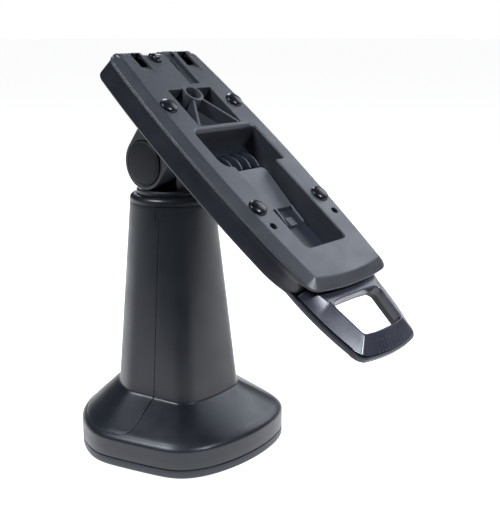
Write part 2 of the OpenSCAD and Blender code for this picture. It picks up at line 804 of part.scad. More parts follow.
module release_slider() {
    top = slider_w + 2;
    color(plastic) at_pivot() difference() {
        union() {
            along_x(-slider_half_w, slider_half_w) polygon([
                [-57.5, face_w - 8], [-90.5, face_w - 12], [-90.5, top], [-155, top],
                [-155, slider_w], [-88.5, slider_w], [-88.5, face_w - 13.6],
                [-59, face_w - 9.8], [-57.5, face_w - 9.6]]);
            // ribs and block below the tongue
            for (u = [-16.8, -0.7, 15.4]) translate([u, 0, 0]) along_x(0, 1.4)
                polygon([[-90.4, face_w - 12], [-104, face_w - 13.2], [-104, top - 0.2],
                    [-90.4, top - 0.2]]);
            translate([0, -106, top - eps]) cube([6.5, 7, 2.2]);
            // ears that press on the springs
            for (s = [0, 1]) mirror([s, 0, 0]) translate([0, -spring_start_v, slider_w])
                cube([spring_u + 3.6, spring_wall, ear_h]);
        }
        for (s = [-1, 1]) slope_post(s * handle_screw_u, handle_screw_v, slider_w - 1,
            top + 1, handle_screw_r);
    }
}

module handle_screws() {
    color(steel) at_pivot() for (s = [-1, 1])
        translate([s * handle_screw_u, -handle_screw_v, handle_seat_w])
            cap_screw(handle_screw_head[0], handle_screw_head[1], handle_screw_r,
                handle_seat_w - slider_w);
}

// Coil spring drawn as the sleeve that it fills
module return_spring(s) {
    color(steel) at_pivot() translate([s * spring_u, -spring_start_v, spring_w]) rotate([90, 0, 0])
        difference() {
            cylinder(h = spring_end_v - spring_start_v, r = spring_r);
            translate([0, 0, -1]) cylinder(h = 20, r = spring_r - 1);
        }
}

module spring_left() {
    return_spring(-1);
}

module spring_right() {
    return_spring(1);
}

foot_pad();
foot_plate();
counterweight();
mast_tube();
mast_flange();
foot_screws();
column_shell();
rear_cover();
cover_screws();
top_ring();
thrust_washer();
swivel_neck();
stop_pin();
lock_washer();
swivel_nut();
friction_washers();
tilt_bracket();
tilt_bolt();
tilt_nut();
end_cap_left();
end_cap_right();
bracket_screws();
cradle_tray();
cradle_cover();
tray_screws();
terminal_screws();
hook_stud();
release_handle();
release_slider();
handle_screws();
spring_left();
spring_right();
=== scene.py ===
import json
import math
from collections import namedtuple

import bmesh
import bpy
import numpy as np
from mathutils import Matrix, Vector


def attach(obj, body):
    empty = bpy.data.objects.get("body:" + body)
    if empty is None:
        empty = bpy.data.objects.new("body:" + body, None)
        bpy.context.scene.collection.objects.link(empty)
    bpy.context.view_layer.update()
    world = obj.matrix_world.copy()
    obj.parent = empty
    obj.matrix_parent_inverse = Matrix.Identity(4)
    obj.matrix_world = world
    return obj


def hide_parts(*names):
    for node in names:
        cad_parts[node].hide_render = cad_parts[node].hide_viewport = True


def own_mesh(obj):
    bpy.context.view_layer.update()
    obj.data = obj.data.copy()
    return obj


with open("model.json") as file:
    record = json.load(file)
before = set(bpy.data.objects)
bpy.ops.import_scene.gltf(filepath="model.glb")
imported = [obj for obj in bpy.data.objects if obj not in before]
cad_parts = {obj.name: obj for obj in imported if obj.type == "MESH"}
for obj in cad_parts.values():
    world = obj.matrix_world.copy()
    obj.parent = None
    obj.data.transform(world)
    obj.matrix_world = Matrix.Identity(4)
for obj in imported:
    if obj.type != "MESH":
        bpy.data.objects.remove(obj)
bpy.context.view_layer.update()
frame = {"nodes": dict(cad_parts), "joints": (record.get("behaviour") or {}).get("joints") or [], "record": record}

MM = 0.001

# ---- camera, light and floor ----

VIEW_AZIMUTH = -49.6
VIEW_PITCH = 14.8
VIEW_DISTANCE = 660.4 * MM
VIEW_TARGET = Vector((36.9, -40.3, 129.0)) * MM
LENS = 62.4
FLOOR_R = 9.0
FLOOR_FRONT = 0.3
FLOOR_GLOW = 0.93
FLOOR_GREY = ((0.60, 0.60, 0.60), (0.62, 0.62, 0.62))
LIGHT_COLOUR = (0.85, 0.90, 1.0)
AIM = Vector((0, -0.03, 0.15))
WORLD_STRENGTH, BACKDROP_STRENGTH = 0.07, 1.0
# Name, azimuth, elevation, distance, width, height and watts
SOFTBOXES = (
    ("side", 82, 31, 1.3, 0.75, 0.75, 7),
    ("rear", 138, 38, 1.2, 0.3, 0.5, 6),
    ("overhead", 3, 36, 1.2, 0.2, 0.2, 14),
    ("left", -106, 48, 1.3, 0.35, 0.35, 14),
)


def direction(azimuth, elevation):
    """The way from the object towards an azimuth and elevation in degrees; azimuth 0 is the front."""
    a, e = math.radians(azimuth), math.radians(elevation)
    return Vector((math.sin(a) * math.cos(e), -math.cos(a) * math.cos(e), math.sin(e)))


def place_facing(name, data, target, azimuth, elevation, distance):
    """Puts a camera or a light in the scene, looking at the target from a direction and distance."""
    way = direction(azimuth, elevation)
    thing = bpy.data.objects.new(name, data)
    thing.location = target + way * distance
    thing.rotation_mode = "QUATERNION"
    thing.rotation_quaternion = (-way).to_track_quat("-Z", "Y")
    bpy.context.scene.collection.objects.link(thing)
    return thing


def add_camera():
    data = bpy.data.cameras.new("camera")
    data.lens = LENS
    data.clip_start, data.clip_end = 0.02, 60
    view = (VIEW_TARGET, VIEW_AZIMUTH, VIEW_PITCH, VIEW_DISTANCE)
    bpy.context.scene.camera = place_facing("camera", data, *view)


def add_softbox(name, azimuth, elevation, distance, width, height, watts):
    data = bpy.data.lights.new(name, "AREA")
    data.color = LIGHT_COLOUR
    data.shape = "RECTANGLE"
    data.size, data.size_y = width, height
    data.energy = watts
    place_facing(name, data, AIM, azimuth, elevation, distance)


def add_world(strength, seen):
    """An even pale surround: one strength lights the object, the other is the backdrop's own white."""
    world = bpy.data.worlds.new("studio")
    world.use_nodes = True
    tree = world.node_tree
    tree.nodes.clear()
    out = tree.nodes.new("ShaderNodeOutputWorld")
    mix = tree.nodes.new("ShaderNodeMixShader")
    path = tree.nodes.new("ShaderNodeLightPath")
    shades = []
    for colour, power in (((*LIGHT_COLOUR, 1), strength), ((1, 1, 1, 1), seen)):
        shade = tree.nodes.new("ShaderNodeBackground")
        shade.inputs["Color"].default_value = colour
        shade.inputs["Strength"].default_value = power
        shades.append(shade)
    tree.links.new(path.outputs["Is Camera Ray"], mix.inputs[0])
    tree.links.new(shades[0].outputs[0], mix.inputs[1])
    tree.links.new(shades[1].outputs[0], mix.inputs[2])
    tree.links.new(mix.outputs[0], out.inputs["Surface"])
    bpy.context.scene.world = world


# ---- materials ----


def new_material(name):
    material = bpy.data.materials.new(name)
    material.use_nodes = True
    tree = material.node_tree
    tree.nodes.clear()
    out = tree.nodes.new("ShaderNodeOutputMaterial")
    shader = tree.nodes.new("ShaderNodeBsdfPrincipled")
    tree.links.new(shader.outputs[0], out.inputs["Surface"])
    return material, tree, shader


def noise(tree, scale, detail=3.0, roughness=0.55):
    place = tree.nodes.new("ShaderNodeTexCoord")
    node = tree.nodes.new("ShaderNodeTexNoise")
    node.inputs["Scale"].default_value = scale
    node.inputs["Detail"].default_value = detail
    node.inputs["Roughness"].default_value = roughness
    tree.links.new(place.outputs["Object"], node.inputs["Vector"])
    return node.outputs["Fac"]


def spread(tree, source, low, high, start=0.3, end=0.7):
    node = tree.nodes.new("ShaderNodeMapRange")
    node.inputs["From Min"].default_value = start
    node.inputs["From Max"].default_value = end
    node.inputs["To Min"].default_value = low
    node.inputs["To Max"].default_value = high
    tree.links.new(source, node.inputs["Value"])
    return node.outputs["Result"]


def blend_colour(tree, factor, a, b):
    node = tree.nodes.new("ShaderNodeMix")
    node.data_type = "RGBA"
    for socket, value in (("A", a), ("B", b)):
        entry = next(s for s in node.inputs if s.name == socket and s.type == "RGBA")
        if isinstance(value, tuple):
            entry.default_value = (*value, 1)
        else:
            tree.links.new(value, entry)
    tree.links.new(factor, next(s for s in node.inputs if s.name == "Factor" and s.type == "VALUE"))
    return next(s for s in node.outputs if s.type == "RGBA")


# Pointiness mask for paler edges: partly edge wear, partly a painted highlight
def edge_wear_and_highlight_mask(tree, low, high):
    """1 on outer edges, 0 elsewhere."""
    geometry = tree.nodes.new("ShaderNodeNewGeometry")
    return spread(tree, geometry.outputs["Pointiness"], 0, 1, low, high)


def bump(tree, shader, layers):
    """Layers of (height source, strength, distance in metres), each laid on the one before."""
    last = None
    for source, strength, distance in layers:
        node = tree.nodes.new("ShaderNodeBump")
        node.inputs["Strength"].default_value = strength
        node.inputs["Distance"].default_value = distance
        tree.links.new(source, node.inputs["Height"])
        if last is not None:
            tree.links.new(last, node.inputs["Normal"])
        last = node.outputs["Normal"]
    tree.links.new(last, shader.inputs["Normal"])


# How many times lighter the speckle and the paler edges of a satin plastic are; the paler edges are partly wear
# and partly a painted highlight
SPECKLE_SHARE, EDGE_WEAR_AND_HIGHLIGHT_SHARE = 1.5, 1.9


def lighter(colour, share):
    return tuple(min(1.0, c * share) for c in colour)


def moulded_plastic(name, colour, tint, rough, grain, grain_depth, specular):
    """Satin moulded plastic: slow changes of tone, a fine spark-eroded grain and paler edges, partly worn and
    partly a painted highlight.
    """
    material, tree, shader = new_material(name)
    tone = spread(tree, noise(tree, 14, 2), 0, 1)
    body = blend_colour(tree, tone, colour, tint)
    speckle = spread(tree, noise(tree, 900, 2), 0, 0.35, 0.52, 0.75)
    body = blend_colour(tree, speckle, body, lighter(colour, SPECKLE_SHARE))
    # paler edges on the pointiness mask: partly wear, partly a painted highlight along the edges
    worn_and_highlit_edges = edge_wear_and_highlight_mask(tree, 0.53, 0.60)
    body = blend_colour(tree, worn_and_highlit_edges, body, lighter(colour, EDGE_WEAR_AND_HIGHLIGHT_SHARE))
    tree.links.new(body, shader.inputs["Base Color"])
    set_roughness(tree, shader, 60, 4, rough - 0.05, rough + 0.05)
    shader.inputs["Specular IOR Level"].default_value = specular
    bump(tree, shader, [
        (noise(tree, 55, 2), 0.05, 0.0006),
        (noise(tree, grain, 3, 0.6), grain_depth, 0.00008),
    ])
    return material


def set_tone(tree, shader, scale, detail, a, b):
    tone = spread(tree, noise(tree, scale, detail), 0, 1)
    tree.links.new(blend_colour(tree, tone, a, b), shader.inputs["Base Color"])


def set_roughness(tree, shader, scale, detail, low, high):
    tree.links.new(spread(tree, noise(tree, scale, detail), low, high), shader.inputs["Roughness"])


def gloss_plastic(name, colour):
    material, tree, shader = new_material(name)
    set_tone(tree, shader, 90, 2, colour, lighter(colour, 1.6))
    set_roughness(tree, shader, 300, 3, 0.24, 0.32)
    shader.inputs["Specular IOR Level"].default_value = 0.3
    bump(tree, shader, [(noise(tree, 260, 2), 0.08, 0.0001)])
    return material


def plated_metal(name, colour, rough):
    material, tree, shader = new_material(name)
    set_tone(tree, shader, 40, 4, colour, lighter(colour, 0.82))
    set_roughness(tree, shader, 220, 4, rough - 0.08, rough + 0.08)
    shader.inputs["Metallic"].default_value = 1.0
    bump(tree, shader, [(noise(tree, 700, 3), 0.12, 0.00006)])
    return material


def rubber_sheet(name, colour):
    material, tree, shader = new_material(name)
    set_tone(tree, shader, 30, 3, colour, lighter(colour, 1.7))
    set_roughness(tree, shader, 90, 3, 0.78, 0.92)
    bump(tree, shader, [(noise(tree, 1400, 3), 0.5, 0.0001)])
    return material


def studio_floor():
    material, tree, shader = new_material("floor_paper")
    set_tone(tree, shader, 1.5, 2, *FLOOR_GREY)
    shader.inputs["Roughness"].default_value = 0.85
    shader.inputs["Emission Color"].default_value = (1, 1, 1, 1)
    shader.inputs["Emission Strength"].default_value = FLOOR_GLOW
    return material


# Satin plastics: two tones, roughness, scale and depth of the grain, specular level
SATIN_PLASTICS = {
    "foot_plastic": ((0.014, 0.016, 0.021), (0.018, 0.022, 0.027), 0.40, 2400, 0.25, 0.5),
    "column_plastic": ((0.009, 0.011, 0.015), (0.012, 0.015, 0.019), 0.36, 2400, 0.22, 0.5),
    "ring_plastic": ((0.008, 0.009, 0.012), (0.010, 0.012, 0.015), 0.34, 2400, 0.2, 0.5),
    "head_plastic": ((0.007, 0.009, 0.011), (0.010, 0.013, 0.015), 0.36, 2400, 0.25, 0.5),
    "cap_plastic": ((0.004, 0.006, 0.007), (0.006, 0.008, 0.008), 0.50, 1900, 0.35, 0.25),
    "tray_plastic": ((0.007, 0.009, 0.013), (0.010, 0.013, 0.018), 0.38, 2400, 0.25, 0.5),
    "face_plastic": ((0.020, 0.022, 0.027), (0.024, 0.027, 0.032), 0.46, 2100, 0.35, 0.7),
    "handle_plastic": ((0.020, 0.021, 0.031), (0.026, 0.027, 0.039), 0.31, 2400, 0.22, 0.7),
    "slider_plastic": ((0.045, 0.048, 0.054), (0.052, 0.056, 0.062), 0.46, 2100, 0.35, 0.7),
}


def make_materials():
    made = {name: moulded_plastic(name, *look) for name, look in SATIN_PLASTICS.items()}
    made["rubber"] = rubber_sheet("rubber", (0.012, 0.012, 0.013))
    made["washer_polymer"] = rubber_sheet("washer_polymer", (0.02, 0.02, 0.02))
    made["plated_steel"] = plated_metal("plated_steel", (0.56, 0.57, 0.60), 0.34)
    made["fastener_steel"] = plated_metal("fastener_steel", (0.42, 0.43, 0.46), 0.30)
    made["black_screw"] = gloss_plastic("black_screw", (0.004, 0.004, 0.006))
    return made


add_world(WORLD_STRENGTH, BACKDROP_STRENGTH)
add_camera()
for softbox in SOFTBOXES:
    add_softbox(*softbox)

MATERIALS = make_materials()
SLOT_OF = {row["node"]: row["material_slot"] for row in frame["record"]["subparts"]}
for node_name, node_object in frame["nodes"].items():
    node_object.data.materials.clear()
    node_object.data.materials.append(MATERIALS[SLOT_OF[node_name]])


def add_floor():
    mesh = bpy.data.meshes.new("floor")
    bm = bmesh.new()
    away = -direction(VIEW_AZIMUTH, 0) * (FLOOR_R - FLOOR_FRONT)
    bmesh.ops.create_circle(
        bm, cap_ends=True, radius=FLOOR_R, segments=96, matrix=Matrix.Translation(away))
    bm.to_mesh(mesh)
    bm.free()
    floor = bpy.data.objects.new("floor", mesh)
    mesh.materials.append(studio_floor())
    bpy.context.scene.collection.objects.link(floor)


# ---- mesh building ----
# Shapes are made in millimetres and brought into the row frame, in metres, as they become objects.

UPRIGHT = Matrix.Scale(MM, 4)
JOINTS = {joint["name"]: joint for joint in frame["joints"]}
PIVOT = Vector(JOINTS["tilt_turn"]["pos_m"])
SLOPE_AXIS = Vector(JOINTS["release_slide"]["axis"])
TILT = math.atan2(-SLOPE_AXIS.z, -SLOPE_AXIS.y)
# The cradle's own axes: x across, -y down the slope, z square to the face, from the tilt axis
CRADLE = Matrix.Translation(PIVOT) @ Matrix.Rotation(TILT, 4, "X") @ UPRIGHT
AXLE = Matrix.Translation(PIVOT) @ UPRIGHT
SHARP_ANGLE = math.radians(38)


def add_ring(bm, points):
    return [bm.verts.new(p) for p in points]


def bridge(bm, a, b, closed=True):
    n = len(a)
    for i in range(n if closed else n - 1):
        j = (i + 1) % n
        bm.faces.new((a[i], a[j], b[j], b[i]))


def stack(bm, rings):
    """Rings of points joined one to the next; returns the rings' vertices."""
    rows = [add_ring(bm, ring) for ring in rings]
    for a, b in zip(rows, rows[1:]):
        bridge(bm, a, b)
    return rows


def fill(bm, *loops):
    """A flat face inside the first loop, open inside the others."""
    edges = []
    for loop in loops:
        for i, v in enumerate(loop):
            pair = (v, loop[(i + 1) % len(loop)])
            edges.append(bm.edges.get(pair) or bm.edges.new(pair))
    bmesh.ops.triangle_fill(bm, use_beauty=True, use_dissolve=False, edges=edges)


def solid(rings):
    """A closed solid through rings of points."""
    bm = bmesh.new()
    rows = stack(bm, rings)
    fill(bm, rows[0])
    fill(bm, rows[-1])
    return bm


def box(x0, x1, y0, y1, z0, z1):
    return solid([[(x0, y0, z), (x1, y0, z), (x1, y1, z), (x0, y1, z)] for z in (z0, z1)])


def arc(start, end, steps):
    """Angles in radians from start to end, given in degrees, both included."""
    return [math.radians(start + (end - start) * i / steps) for i in range(steps + 1)]


def circle_ring(x, y, r, z, steps=40):
    angles = arc(0, 360 * (steps - 1) / steps, steps - 1)
    return [(x + r * math.cos(t), y + r * math.sin(t), z) for t in angles]


def ease(value, start, end):
    """0 before start, 1 after end, and a smooth rise between."""
    share = min(max((value - start) / (end - start), 0), 1)
    return share * share * (3 - 2 * share)


def curve3(a, b, c, steps=4):
    """Points on the curve from a to c that leaves and arrives along the lines to b."""
    shares = [i / steps for i in range(steps + 1)]
    return [tuple((1 - t) ** 2 * p + 2 * t * (1 - t) * q + t * t * r for p, q, r in zip(a, b, c))
            for t in shares]


def revolve(profile, steps):
    """A solid of revolution about Z through (radius, z) points; a zero radius is a point on the axis."""
    bm = bmesh.new()
    rows = []
    for r, z in profile:
        rows.append(add_ring(bm, [(0, 0, z)] if r == 0 else circle_ring(0, 0, r, z, steps)))
    for a, b in zip(rows, rows[1:]):
        if len(a) == 1 or len(b) == 1:
            (point,), ring = sorted((a, b), key=len)
            for i, v in enumerate(ring):
                bm.faces.new((point, v, ring[(i + 1) % len(ring)]))
        else:
            bridge(bm, a, b)
    return bm


def joined(parts):
    """One mesh that holds several separate ones."""
    bm = bmesh.new()
    for part in parts:
        mesh = bpy.data.meshes.new("part")
        part.to_mesh(mesh)
        part.free()
        bm.from_mesh(mesh)
        bpy.data.meshes.remove(mesh)
    return bm


def cut(bm, cutter, operation="DIFFERENCE"):
    """The mesh after another one is cut from it, or joined to it."""
    objects = []
    for part in (bm, cutter):
        bmesh.ops.recalc_face_normals(part, faces=part.faces)
        if part.calc_volume(signed=True) < 0:
            bmesh.ops.reverse_faces(part, faces=part.faces)
        mesh = bpy.data.meshes.new("cut")
        part.to_mesh(mesh)
        part.free()
        obj = bpy.data.objects.new("cut", mesh)
        bpy.context.scene.collection.objects.link(obj)
        objects.append(obj)
    tool = objects[0].modifiers.new("cut", "BOOLEAN")
    tool.operation = operation
    tool.object = objects[1]
    tool.solver = "EXACT"
    made = objects[0].evaluated_get(bpy.context.evaluated_depsgraph_get()).to_mesh()
    result = bmesh.new()
    result.from_mesh(made)
    for obj in objects:
        mesh = obj.data
        bpy.data.objects.remove(obj)
        bpy.data.meshes.remove(mesh)
    return result


def to_object(name, bm, slot, body, stands_for=(), place=CRADLE, even=False):
    """Makes a named piece of a mesh in millimetres: on which body it rides, with which material slot,
    and for which CAD nodes it stands in; even adds weighted normals, for broad flat faces."""
    bmesh.ops.recalc_face_normals(bm, faces=bm.faces)
    bm.transform(place)
    for edge in bm.edges:
        edge.smooth = len(edge.link_faces) == 2 and edge.calc_face_angle(0) < SHARP_ANGLE
    for face in bm.faces:
        face.smooth = True
    mesh = bpy.data.meshes.new(name)
    bm.to_mesh(mesh)
    bm.free()
    mesh.materials.append(MATERIALS[slot])
    obj = bpy.data.objects.new(name, mesh)
    bpy.context.scene.collection.objects.link(obj)
    if even:
        weighted = obj.modifiers.new("even_normals", "WEIGHTED_NORMAL")
        weighted.keep_sharp = True
    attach(obj, body)
    if stands_for:
        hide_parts(*stands_for)
    return obj


# ---- foot and column ----

# Plan outlines: rear radius and its centre, side distance and lean, front radius and its centre,
# and the sharpness of the corners
FOOT_PLAN = (74, -6.8, 70.3, 14.9, 129.3, 55, 34)
COLUMN_PLAN = (43, -2.6, 39, 16.7, 130, 89.1, 70)
COLUMN_TOP_R = 29.8
COLUMN_TOP_Z = 176.8
SHELL_Z = 7.2
RIM_Z = 19.8
CREASE_Z = 43.6
CREASE_SLOPE = 0.085
# The shares of the flare and of the column that the crease's rounding takes up
CREASE_BEFORE, CREASE_AFTER = 0.06, 0.008
CREASE_STEPS = 5
# Shoulder of the flare: share of the way to the column, height above the rim
SHOULDER = ((0.000, -0.5), (0.003, 0.25), (0.012, 0.95), (0.028, 1.75), (0.052, 2.62), (0.080, 3.4),
            (0.106, 4.1), (0.130, 4.7))
# The shell's rows below the shoulder, as heights
RIM_ROWS = (SHELL_Z, SHELL_Z + 0.1, SHELL_Z + 0.35, 13, RIM_Z - 1.2)
WALL = 2.4
EDGE_R = 0.35
SEAM_HALF = 0.12
LEDGE_GAP = 0.3
SEAM_Y = -14.0
TAB_Y = -11.7
TAB_Z = 165.0
COVER_LOW_Z = 23.9
LEDGE_Z = COVER_LOW_Z - 0.1
COVER_LOW_Y = -17.6
COVER_CORNER_R = 7.0
SEAM_LEAN = 0.13
SEAM_LEAN_X = 38.0


def to_circle(a, r, y):
    return y * np.sin(a) + np.sqrt(r * r - (y * np.cos(a)) ** 2)


def plan_radius(a, plan):
    rear_r, rear_y, side, lean, front_r, front_y, k = plan
    lean = math.radians(lean)
    flat = side / np.maximum(np.abs(np.cos(a)) * math.cos(lean) - np.sin(a) * math.sin(lean), 0.05)
    near = [to_circle(a, rear_r, rear_y), flat, to_circle(a, front_r, front_y)]
    return sum(r ** -k for r in near) ** (-1 / k)


def polar(a, r, z):
    return np.stack([r * np.cos(a), r * np.sin(a), np.broadcast_to(z, a.shape)], -1)


def rim_row(z, inset=0.0):
    return lambda a: polar(a, plan_radius(a, FOOT_PLAN) - inset, z)


def crease(a):
    r = plan_radius(a, COLUMN_PLAN)
    return polar(a, r, CREASE_Z + CREASE_SLOPE * r * np.sin(a))


def shoulder_row(share, rise):
    def row(a):
        r = (1 - share) * plan_radius(a, FOOT_PLAN) + share * plan_radius(a, COLUMN_PLAN)
        return polar(a, r, RIM_Z + rise)
    return row


def flare_row(t):
    start = shoulder_row(*SHOULDER[-1])
    return lambda a: (1 - t) * start(a) + t * crease(a)


def column_row(t):
    return lambda a: (1 - t) * crease(a) + t * polar(a, np.full(a.shape, COLUMN_TOP_R), COLUMN_TOP_Z)


def crease_fillet_row(share):
    """A row of the crease's rounding, from 0 at the flare to 1 at the column."""
    def row(a):
        p, q, r = flare_row(1 - CREASE_BEFORE)(a), crease(a), column_row(CREASE_AFTER)(a)
        return (1 - share) ** 2 * p + 2 * share * (1 - share) * q + share * share * r
    return row


def seam_y(x, z):
    """Where the rear cover's seam runs: a leaning plane, a rounded lower corner and a tab at the top."""
    if z > TAB_Z:
        return TAB_Y
    plane = SEAM_Y - SEAM_LEAN * max(abs(x) - SEAM_LEAN_X, 0)
    drop = max(COVER_LOW_Z + COVER_CORNER_R - z, 0)
    side = COVER_LOW_Y + COVER_CORNER_R - math.sqrt(max(COVER_CORNER_R ** 2 - drop ** 2, 0))
    return max(plane, side)


def seam_angle(row):
    """The angle, a little in front of +X, at which a row meets the seam."""
    low, high = math.radians(-50), math.radians(20)
    for _ in range(40):
        middle = (low + high) / 2
        x, y, z = row(np.array([middle]))[0]
        if y < seam_y(x, z):
            low = middle
        else:
            high = middle
    return (low + high) / 2


def edge_drop(distance):
    """How far a rounded edge of radius EDGE_R falls away, at a distance from the edge's end."""
    e = np.clip(EDGE_R - distance, 0, EDGE_R)
    return EDGE_R - np.sqrt(EDGE_R ** 2 - e ** 2)


# Distances from an edge at which points are set to round it
EDGE_STEPS = (0, 0.03, 0.09, 0.18, 0.35, 0.8)


def row_points(row, start, end, count, gap):
    """Points along a row from start to end, with close ones next to both ends, gap short of them,
    and how far each lies from the nearer end."""
    angles = np.linspace(start, end, 700)
    line = row(angles)
    run = np.concatenate([[0], np.cumsum(np.linalg.norm(np.diff(line, axis=0), axis=1))])
    near = [gap + d for d in EDGE_STEPS]
    inner = np.linspace(near[-1], run[-1] - near[-1], count)
    places = np.concatenate([near[:-1], inner, [run[-1] - d for d in near[-2::-1]]])
    picked = np.interp(places, run, angles)
    return row(picked), picked, np.minimum(places, run[-1] - places) - gap


def base_normals(row, row_above, angles):
    """The surface's outward direction along a row."""
    step = 1e-3
    here = row(angles)
    along = row(angles + step) - here
    up = row_above(angles) - here
    n = np.cross(along, up)
    return n / np.linalg.norm(n, axis=1, keepdims=True)


FRONT_COUNT = 110
REAR_COUNT = 70
COLUMN_ROWS = 18


def upper_rows():
    """Rows of the shell from the rear cover's lower edge to the top."""
    corner = [COVER_LOW_Z + COVER_CORNER_R * (1 - math.cos(t)) for t in arc(0, 90, 8)]
    flare_z = RIM_Z + SHOULDER[-1][1]
    crease_z = CREASE_Z + CREASE_SLOPE * SEAM_Y
    rows = [shoulder_row(*SHOULDER[-2])]
    for z in corner[1:]:
        if z > flare_z:
            rows.append(flare_row((z - flare_z) / (crease_z - flare_z)))
    rows += [flare_row(t) for t in (0.45, 0.6, 0.75, 0.88)]
    rows += [crease_fillet_row(i / CREASE_STEPS) for i in range(CREASE_STEPS + 1)]
    tab = (TAB_Z - CREASE_Z) / (COLUMN_TOP_Z - CREASE_Z)
    run = tab - CREASE_AFTER - 0.01
    rows += [column_row(CREASE_AFTER + run * i / COLUMN_ROWS) for i in range(1, COLUMN_ROWS + 1)]
    rows += [column_row(tab - 0.001), column_row(tab + 0.002)]
    rows += [column_row(tab + (1 - tab) * share) for share in (0.35, 0.7, 0.95, 0.985, 1)]
    return rows


def lower_rows():
    """Rows of the shell from the foot's rim to the ledge under the rear cover."""
    share, rise = SHOULDER[-2]
    rows = [rim_row(z) for z in RIM_ROWS]
    rows += [shoulder_row(*place) for place in SHOULDER[:-2]]
    # close together, for the ledge's rounded edge
    rows += [shoulder_row(share - d * 0.024, rise - d * 0.7) for d in (0.6, 0.3, 0.12)]
    return rows


def two_skins(points, normals, drop):
    """Outer and inner points of a row, the outer ones lowered by the rounding of an edge."""
    return points - drop[:, None] * normals, points - WALL * normals


def skin_points(rows, index, start, end, count, edge_distance):
    """Outer and inner points of one row of a shell piece, with its end edges rounded."""
    row = rows[index]
    points, angles, edge = row_points(row, start, end, count, SEAM_HALF)
    if index + 1 < len(rows):
        normals = base_normals(row, rows[index + 1], angles)
    else:
        normals = -base_normals(row, rows[index - 1], angles)
    return two_skins(points, normals, np.maximum(edge_drop(edge), edge_drop(edge_distance)))


def join_skins(bm, pairs, closed):
    """Joins each pair of outer and inner rows to the next pair."""
    for (a, b), (c, d) in zip(pairs, pairs[1:]):
        bridge(bm, a, c, closed)
        bridge(bm, b, d, closed)


def stitch(bm, outer, inner):
    """Joins two loops of vertices, point for point, with a strip of faces."""
    for i in range(len(outer)):
        j = (i + 1) % len(outer)
        bm.faces.new((outer[i], outer[j], inner[j], inner[i]))


def rear_cover_piece(rows, angles, heights):
    bm = bmesh.new()
    grid = []
    for i, angle in enumerate(angles):
        edge = min(COLUMN_TOP_Z - heights[i], heights[i] - heights[0])
        skins = skin_points(rows, i, angle, math.pi - angle, REAR_COUNT, edge)
        if i == 0:
            for skin in skins:
                skin[:, 2] += SEAM_HALF
        grid.append([add_ring(bm, skin) for skin in skins])
    join_skins(bm, grid, closed=False)
    loops = []
    for k in (0, 1):
        skin = [pair[k] for pair in grid]
        loop = skin[0] + [row[-1] for row in skin[1:]]
        loop += skin[-1][-2::-1] + [row[0] for row in skin[-2:0:-1]]
        loops.append(loop)
    stitch(bm, *loops)
    to_object("column_rear_cover", bm, "column_plastic", "base", ["rear_cover"], UPRIGHT)


def closed_part(bm, first_open_row, front_angles, rear_angles):
    """The part of the shell that runs all round, with a rounded ledge under the rear cover."""
    angles = np.concatenate([front_angles, rear_angles])
    is_rear = np.concatenate([np.zeros(len(front_angles)), np.ones(len(rear_angles))])
    rows = lower_rows()
    pairs = []
    for row, above in zip(rows, rows[1:] + [first_open_row]):
        points = row(angles)
        height = points[0][2]
        ledge_drop = edge_drop(LEDGE_Z - height) * is_rear
        drop = np.maximum(edge_drop(height - SHELL_Z), ledge_drop)
        skins = two_skins(points, base_normals(row, above, angles), drop)
        pairs.append([add_ring(bm, skin) for skin in skins])
    join_skins(bm, pairs, closed=True)
    stitch(bm, *pairs[0])
    return pairs


def front_shell_piece(rows, angles, heights):
    bm = bmesh.new()
    low = angles[0]
    _, rear_angles, _ = row_points(rows[0], low, math.pi - low, REAR_COUNT, LEDGE_GAP)
    _, front_angles, _ = row_points(rows[0], -math.pi - low, low, FRONT_COUNT, SEAM_HALF)
    ledge = closed_part(bm, rows[0], front_angles, rear_angles)[-1]
    opened = []
    for i, angle in enumerate(angles):
        edge = COLUMN_TOP_Z - heights[i]
        skins = skin_points(rows, i, -math.pi - angle, angle, FRONT_COUNT, edge)
        opened.append([add_ring(bm, skin) for skin in skins])
    count = len(front_angles)
    join_skins(bm, [[skin[:count] for skin in ledge]] + opened, closed=False)
    loops = []
    for k in (0, 1):
        skin = [pair[k] for pair in opened]
        loop = ledge[k][count - 1:] + ledge[k][:1]
        loop += [row[0] for row in skin] + skin[-1][1:]
        loop += [row[-1] for row in skin[-2::-1]]
        loops.append(loop)
    stitch(bm, *loops)
    to_object("column_front_shell", bm, "column_plastic", "base", ["column_shell"], UPRIGHT)


def column_pieces():
    rows = upper_rows()
    angles = [seam_angle(row) for row in rows]
    heights = [row(np.array([0.0]))[0][2] for row in rows]
    rear_cover_piece(rows, angles, heights)
    front_shell_piece(rows, angles, heights)


# The foot plate's section from its middle outwards and round, as (inset from the rim, height)
FOOT_PLATE_PROFILE = (
    (9, 6.6), (0.6, 6.6), (0.18, 6.5), (0, 6.2), (0, 1.9), (0.25, 1.2), (1.0, 0.6), (1.8, 0.6),
    (5.6, 0.6), (5.8, 1.8))


def foot_plate_piece():
    angles = np.radians(np.arange(0, 360, 1.5))
    bm = solid([rim_row(z, inset)(angles) for inset, z in FOOT_PLATE_PROFILE])
    to_object("foot_base_plate", bm, "foot_plastic", "base", ["foot_plate"], UPRIGHT)


# ---- cradle outlines ----

